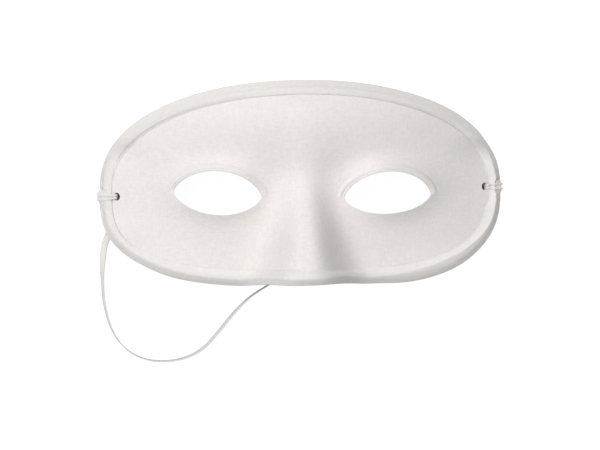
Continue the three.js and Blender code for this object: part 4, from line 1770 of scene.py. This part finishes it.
@dataclass
class LooseElastic:
    """The free elastic: a flat tape that lies on the table and turns on its edge as it goes."""

    width: float = 2.85
    thick: float = 0.65
    length: float = 0.2425
    steps: int = 520
    section_points: int = 22
    floor_gap: float = 0.03
    sink: float = 0.14
    soften: int = 5
    soften_times: int = 2
    route: tuple[tuple[float, float, float], ...] = (
        (-76.9, -7.6, 4.4), (-77.0, -9.3, 3.3), (-77.6, -11.5, 1.8), (-79.0, -14.8, 0.8),
        (-81.1, -18.3, 0.48), (-83.2, -21.6, 0.48), (-84.5, -25.0, 0.46), (-85.2, -28.4, 0.5),
        (-85.8, -35.4, 0.5), (-85.7, -43.0, 0.5), (-85.1, -50.8, 0.5), (-83.1, -59.1, 0.5),
        (-79.7, -66.2, 0.5), (-74.6, -71.6, 0.5), (-68.0, -74.9, 0.5), (-60.8, -76.0, 0.5),
        (-53.1, -75.3, 0.5), (-47.4, -73.4, 0.5), (-42.0, -69.9, 0.5), (-36.3, -63.8, 0.5),
        (-29.4, -55.6, 0.5), (-23.0, -49.4, 0.5), (-14.8, -44.0, 0.5), (-4.0, -38.6, 0.5),
        (8.0, -33.4, 0.5), (21.0, -28.4, 0.5), (35.0, -23.8, 0.5), (49.0, -19.0, 0.5),
        (61.0, -14.2, 0.5), (69.2, -10.2, 0.8), (73.6, -7.5, 1.8), (76.0, -5.2, 3.8),
    )
    roll_stops: tuple[tuple[float, float], ...] = (
        (0.0, 0.0), (0.05, 4.0), (0.09, 10.0), (0.115, 30.0), (0.135, 56.0), (0.154, 67.0),
        (0.19, 71.0), (0.25, 80.0), (0.29, 92.0), (0.33, 96.0), (0.36, 98.0), (0.39, 105.0),
        (0.42, 112.0), (0.5, 113.0), (0.52, 111.0), (0.54, 105.0), (0.56, 95.0), (0.585, 91.0),
        (0.6, 92.0), (0.66, 150.0), (0.72, 180.0), (1.0, 180.0),
    )

    def tape(self) -> tuple[np.ndarray, np.ndarray, np.ndarray]:
        """The tape's centre line and sections.

        The route is the CAD solid's. The tape turns about it by the roll stops, each a share of the
        run and a turn in degrees, softened by averages over neighbouring places. Its centre stands
        at half of its own height there, so that its lower edge is on the table.

        Returns:
            The centre line, the points (place, corner, 3) and the run, in mm.
        """
        path = smooth_path(np.array(self.route), self.steps)
        share = np.linspace(0.0, 1.0, self.steps)
        stop, degrees = np.array(self.roll_stops).T
        roll = np.radians(np.interp(share, stop, degrees))
        window = 2 * self.soften + 1
        for _ in range(self.soften_times):
            padded = np.pad(roll, self.soften, mode="edge")
            roll = np.convolve(padded, np.full(window, 1 / window), mode="valid")
        stands = np.hypot(0.5 * self.width * np.sin(roll), 0.5 * self.thick * np.cos(roll))
        path[:, 2] = np.maximum(path[:, 2] - self.sink, stands + self.floor_gap)
        tangent = unit(np.gradient(path, axis=0))
        flat = unit(np.cross(np.array([0.0, 0.0, 1.0]), tangent))
        up = np.cross(tangent, flat)
        wide = flat * np.cos(roll)[:, None] + up * np.sin(roll)[:, None]
        thick = np.cross(tangent, wide)
        section = flat_section(self.width, self.thick, self.section_points)
        return path, sweep(path, wide, thick, section), run_along(path)

    def build(self, finish: bpy.types.Material) -> bpy.types.Object:
        """Args:
            finish: The elastic's material.

        Returns:
            The elastic's object.
        """
        path, points, run = self.tape()
        places, corners = points.shape[:2]
        centres = points[[0, -1]].mean(axis=1)
        verts = np.concatenate((points.reshape(-1, 3), centres))
        body = grid_quads(places, corners, False, True)
        first = np.arange(corners)
        last = (places - 1) * corners + first
        middle = places * corners
        caps = [np.column_stack((np.full(corners // 2, hub), ring[0::2], ring[1::2],
                                 np.roll(ring, -2)[0::2]))
                for hub, ring in ((middle, first), (middle + 1, last))]
        mesh = write_mesh("loose_elastic", verts, np.concatenate([body, *caps]))
        along = np.concatenate((np.repeat(run, corners), run[[0, -1]]))
        around = np.tile(np.arange(corners) * self.width * 2 / corners, places)
        around = np.concatenate((around, [0.0, 0.0]))
        write_strip_uv(mesh, along, around)
        turn_outwards(mesh)
        piece = place_object("loose_elastic", mesh, finish)
        LOG.info("elastic is %.1f mm long", run[-1])
        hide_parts("elastic_cord")
        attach(piece, "root")
        return piece


@dataclass
class Studio:
    """The camera at the photograph's viewing angle, a pale table and soft light."""

    picture_width: float = 600.0
    picture_height: float = 450.0
    mm_per_pixel: float = 0.432
    distance: float = 1200.0
    yaw: float = 0.058
    roll: float = 0.01
    datum: tuple[float, float, float] = (0.0, -0.6, 1.3)
    datum_pixel: tuple[float, float] = (300.47, 184.78)
    sensor: float = 36.0
    near: float = 0.05
    far: float = 50.0
    sky: float = 0.5
    sun: float = 1.8
    sun_from: tuple[float, float, float] = (-0.435, 0.30, 1.0)
    sun_angle: float = 24.0
    table_reach: float = 3.0
    table_level: float = -0.02
    table_grey: float = 0.3
    table_glow: float = 0.93
    hole_x: float = 78.6
    # reach of the painted shade under each cord hole, where the table's glow fades out
    shade_patch_inner: float = 3.0
    shade_patch_outer: float = 4.5
    above_from: float = 0.9
    above_to: float = 0.97

    def camera(self) -> None:
        """Places the camera over the mask, a little left, and aims it at the picture's centre."""
        start = Vector(self.datum)
        place = start + self.distance * Vector((-math.sin(self.yaw), 0.0, math.cos(self.yaw)))
        right = Vector((math.cos(self.yaw), 0.0, math.sin(self.yaw)))
        off_x = (self.picture_width / 2 - self.datum_pixel[0]) * self.mm_per_pixel
        off_y = (self.datum_pixel[1] - self.picture_height / 2) * self.mm_per_pixel
        up = Vector((0.0, 1.0, 0.0))
        turned = right * math.cos(self.roll) - up * math.sin(self.roll)
        turned_up = up * math.cos(self.roll) + right * math.sin(self.roll)
        aim = start + turned * off_x + turned_up * off_y
        back = (place - aim).normalized()
        side = turned_up.cross(back).normalized()
        data = bpy.data.cameras.new("camera")
        data.sensor_width = self.sensor
        data.lens = self.sensor * self.distance / (self.picture_width * self.mm_per_pixel)
        data.clip_start, data.clip_end = self.near, self.far
        camera = add_object("camera", data)
        camera.matrix_world = Matrix.Translation(place * MM) @ Matrix(
            (side, back.cross(side), back)).transposed().to_4x4()
        bpy.context.scene.camera = camera

    def table(self) -> None:
        """A wide pale table under the mask, which shows only the closest shadows.

        Seen from above, its glow fades out under the two cord holes: a painted shade, so that the
        holes look dark.
        """
        mesh = bpy.data.meshes.new("table")
        level = self.table_level * MM
        corners = [(way_x * self.table_reach, way_y * self.table_reach, level)
                   for way_x, way_y in ((-1, -1), (1, -1), (1, 1), (-1, 1))]
        mesh.from_pydata(corners, [], [(0, 1, 2, 3)])
        table = add_object("table", mesh)
        made = bpy.data.materials.new("pale_table")
        sketch = NodeSketch.of(made)
        grey = (self.table_grey, self.table_grey, self.table_grey, 1.0)
        plain = sketch.node("ShaderNodeBsdfDiffuse", {"Color": grey})
        glow = sketch.node("ShaderNodeEmission",
                           {"Color": (1.0, 1.0, 1.0, 1.0), "Strength": self.table_glow})
        both = sketch.node("ShaderNodeAddShader", {0: plain.outputs[0], 1: glow.outputs[0]})
        place = sketch.node("ShaderNodeTexCoord").outputs["Object"]
        incoming = sketch.node("ShaderNodeNewGeometry").outputs["Incoming"]
        seen_from = sketch.node("ShaderNodeSeparateXYZ", {0: incoming}).outputs["Z"]
        low_view = sketch.ranged(seen_from, self.above_from, self.above_to, 1.0, 0.0)
        lit = sketch.node("ShaderNodeLightPath").outputs["Is Camera Ray"]
        # Painted shade: under each cord hole the glow is taken out, so that the hole looks dark from
        # above.
        for temple in TEMPLES:
            under = (temple.side.value * self.hole_x * MM, temple.y * MM, level)
            off = sketch.vector("DISTANCE", place, under)
            away = sketch.ranged(off, self.shade_patch_inner * MM, self.shade_patch_outer * MM, 0.0, 1.0)
            lit = sketch.math("MULTIPLY", lit, sketch.math("MAXIMUM", away, low_view))
        shaders = {0: lit, 1: plain.outputs[0], 2: both.outputs[0]}
        sketch.surface(sketch.node("ShaderNodeMixShader", shaders))
        mesh.materials.append(made)

    def light(self) -> None:
        """Soft white light from all of the sky and a broad lamp from the upper left."""
        world = bpy.data.worlds.new("studio")
        sketch = NodeSketch.of(world)
        camera_ray = sketch.node("ShaderNodeLightPath").outputs["Is Camera Ray"]
        strength = sketch.ranged(camera_ray, 0.0, 1.0, self.sky, 1.0)
        white = (1.0, 1.0, 1.0, 1.0)
        sky = sketch.node("ShaderNodeBackground", {"Color": white, "Strength": strength})
        sketch.node("ShaderNodeOutputWorld", {"Surface": sky.outputs[0]})
        bpy.context.scene.world = world
        data = bpy.data.lights.new("broad_lamp", "SUN")
        data.energy = self.sun
        data.angle = math.radians(self.sun_angle)
        lamp = add_object("broad_lamp", data)
        lamp.rotation_mode = "QUATERNION"
        lamp.rotation_quaternion = Vector(self.sun_from).to_track_quat("Z", "Y")
        bpy.context.scene.view_settings.view_transform = "Standard"
        bpy.context.scene.view_settings.look = "None"


PAPER = ClothFinish("fine_paper_cloth", (0.955, 0.915, 0.891), (0.804, 0.764, 0.741),
                    threads=1700.0, weave_depth=0.04, slub_depth=0.06)
BINDING = ClothFinish("binding_cloth", (0.935, 0.905, 0.877), (0.79, 0.759, 0.733), threads=2300.0,
                      weave_depth=0.045, slub_depth=0.06, roughness=0.8, strip_map=True)
# The elastic's painted glow lightens the stretches of it that lie in shade.
ELASTIC = ClothFinish("woven_elastic", (0.886, 0.87, 0.85), (0.786, 0.769, 0.75), threads=2100.0,
                      weave_depth=0.12, slub_depth=0.05, roughness=0.7, tone_share=0.5,
                      speck_share=0.0, sheen=0.2, painted_glow=0.08, strip_map=True)


def main() -> None:
    """Builds the scene in order: camera, elastic, tied ends, shell, binding, table and light."""
    logging.basicConfig(level=logging.INFO, format="%(name)s: %(message)s")
    mould = Mould()
    studio = Studio()
    studio.camera()
    groups = {tree.name: tree for tree in (thread_group(), mottle_group(), fibre_group())}
    elastic_finish = ELASTIC.material(groups)
    binding = EdgeBinding(mould)
    made = [LooseElastic().build(elastic_finish)]
    for temple in TEMPLES:
        made.append(TempleTie(mould, binding, temple).build(elastic_finish))
    made.append(MaskShell(mould).build(PAPER.material(groups), PulpFinish().material(groups)))
    made.append(binding.build(BINDING.material(groups)))
    studio.table()
    studio.light()
    for piece in made:
        LOG.info("%s: %d faces", piece.name, len(piece.data.polygons))


if __name__ == "__main__":
    main()
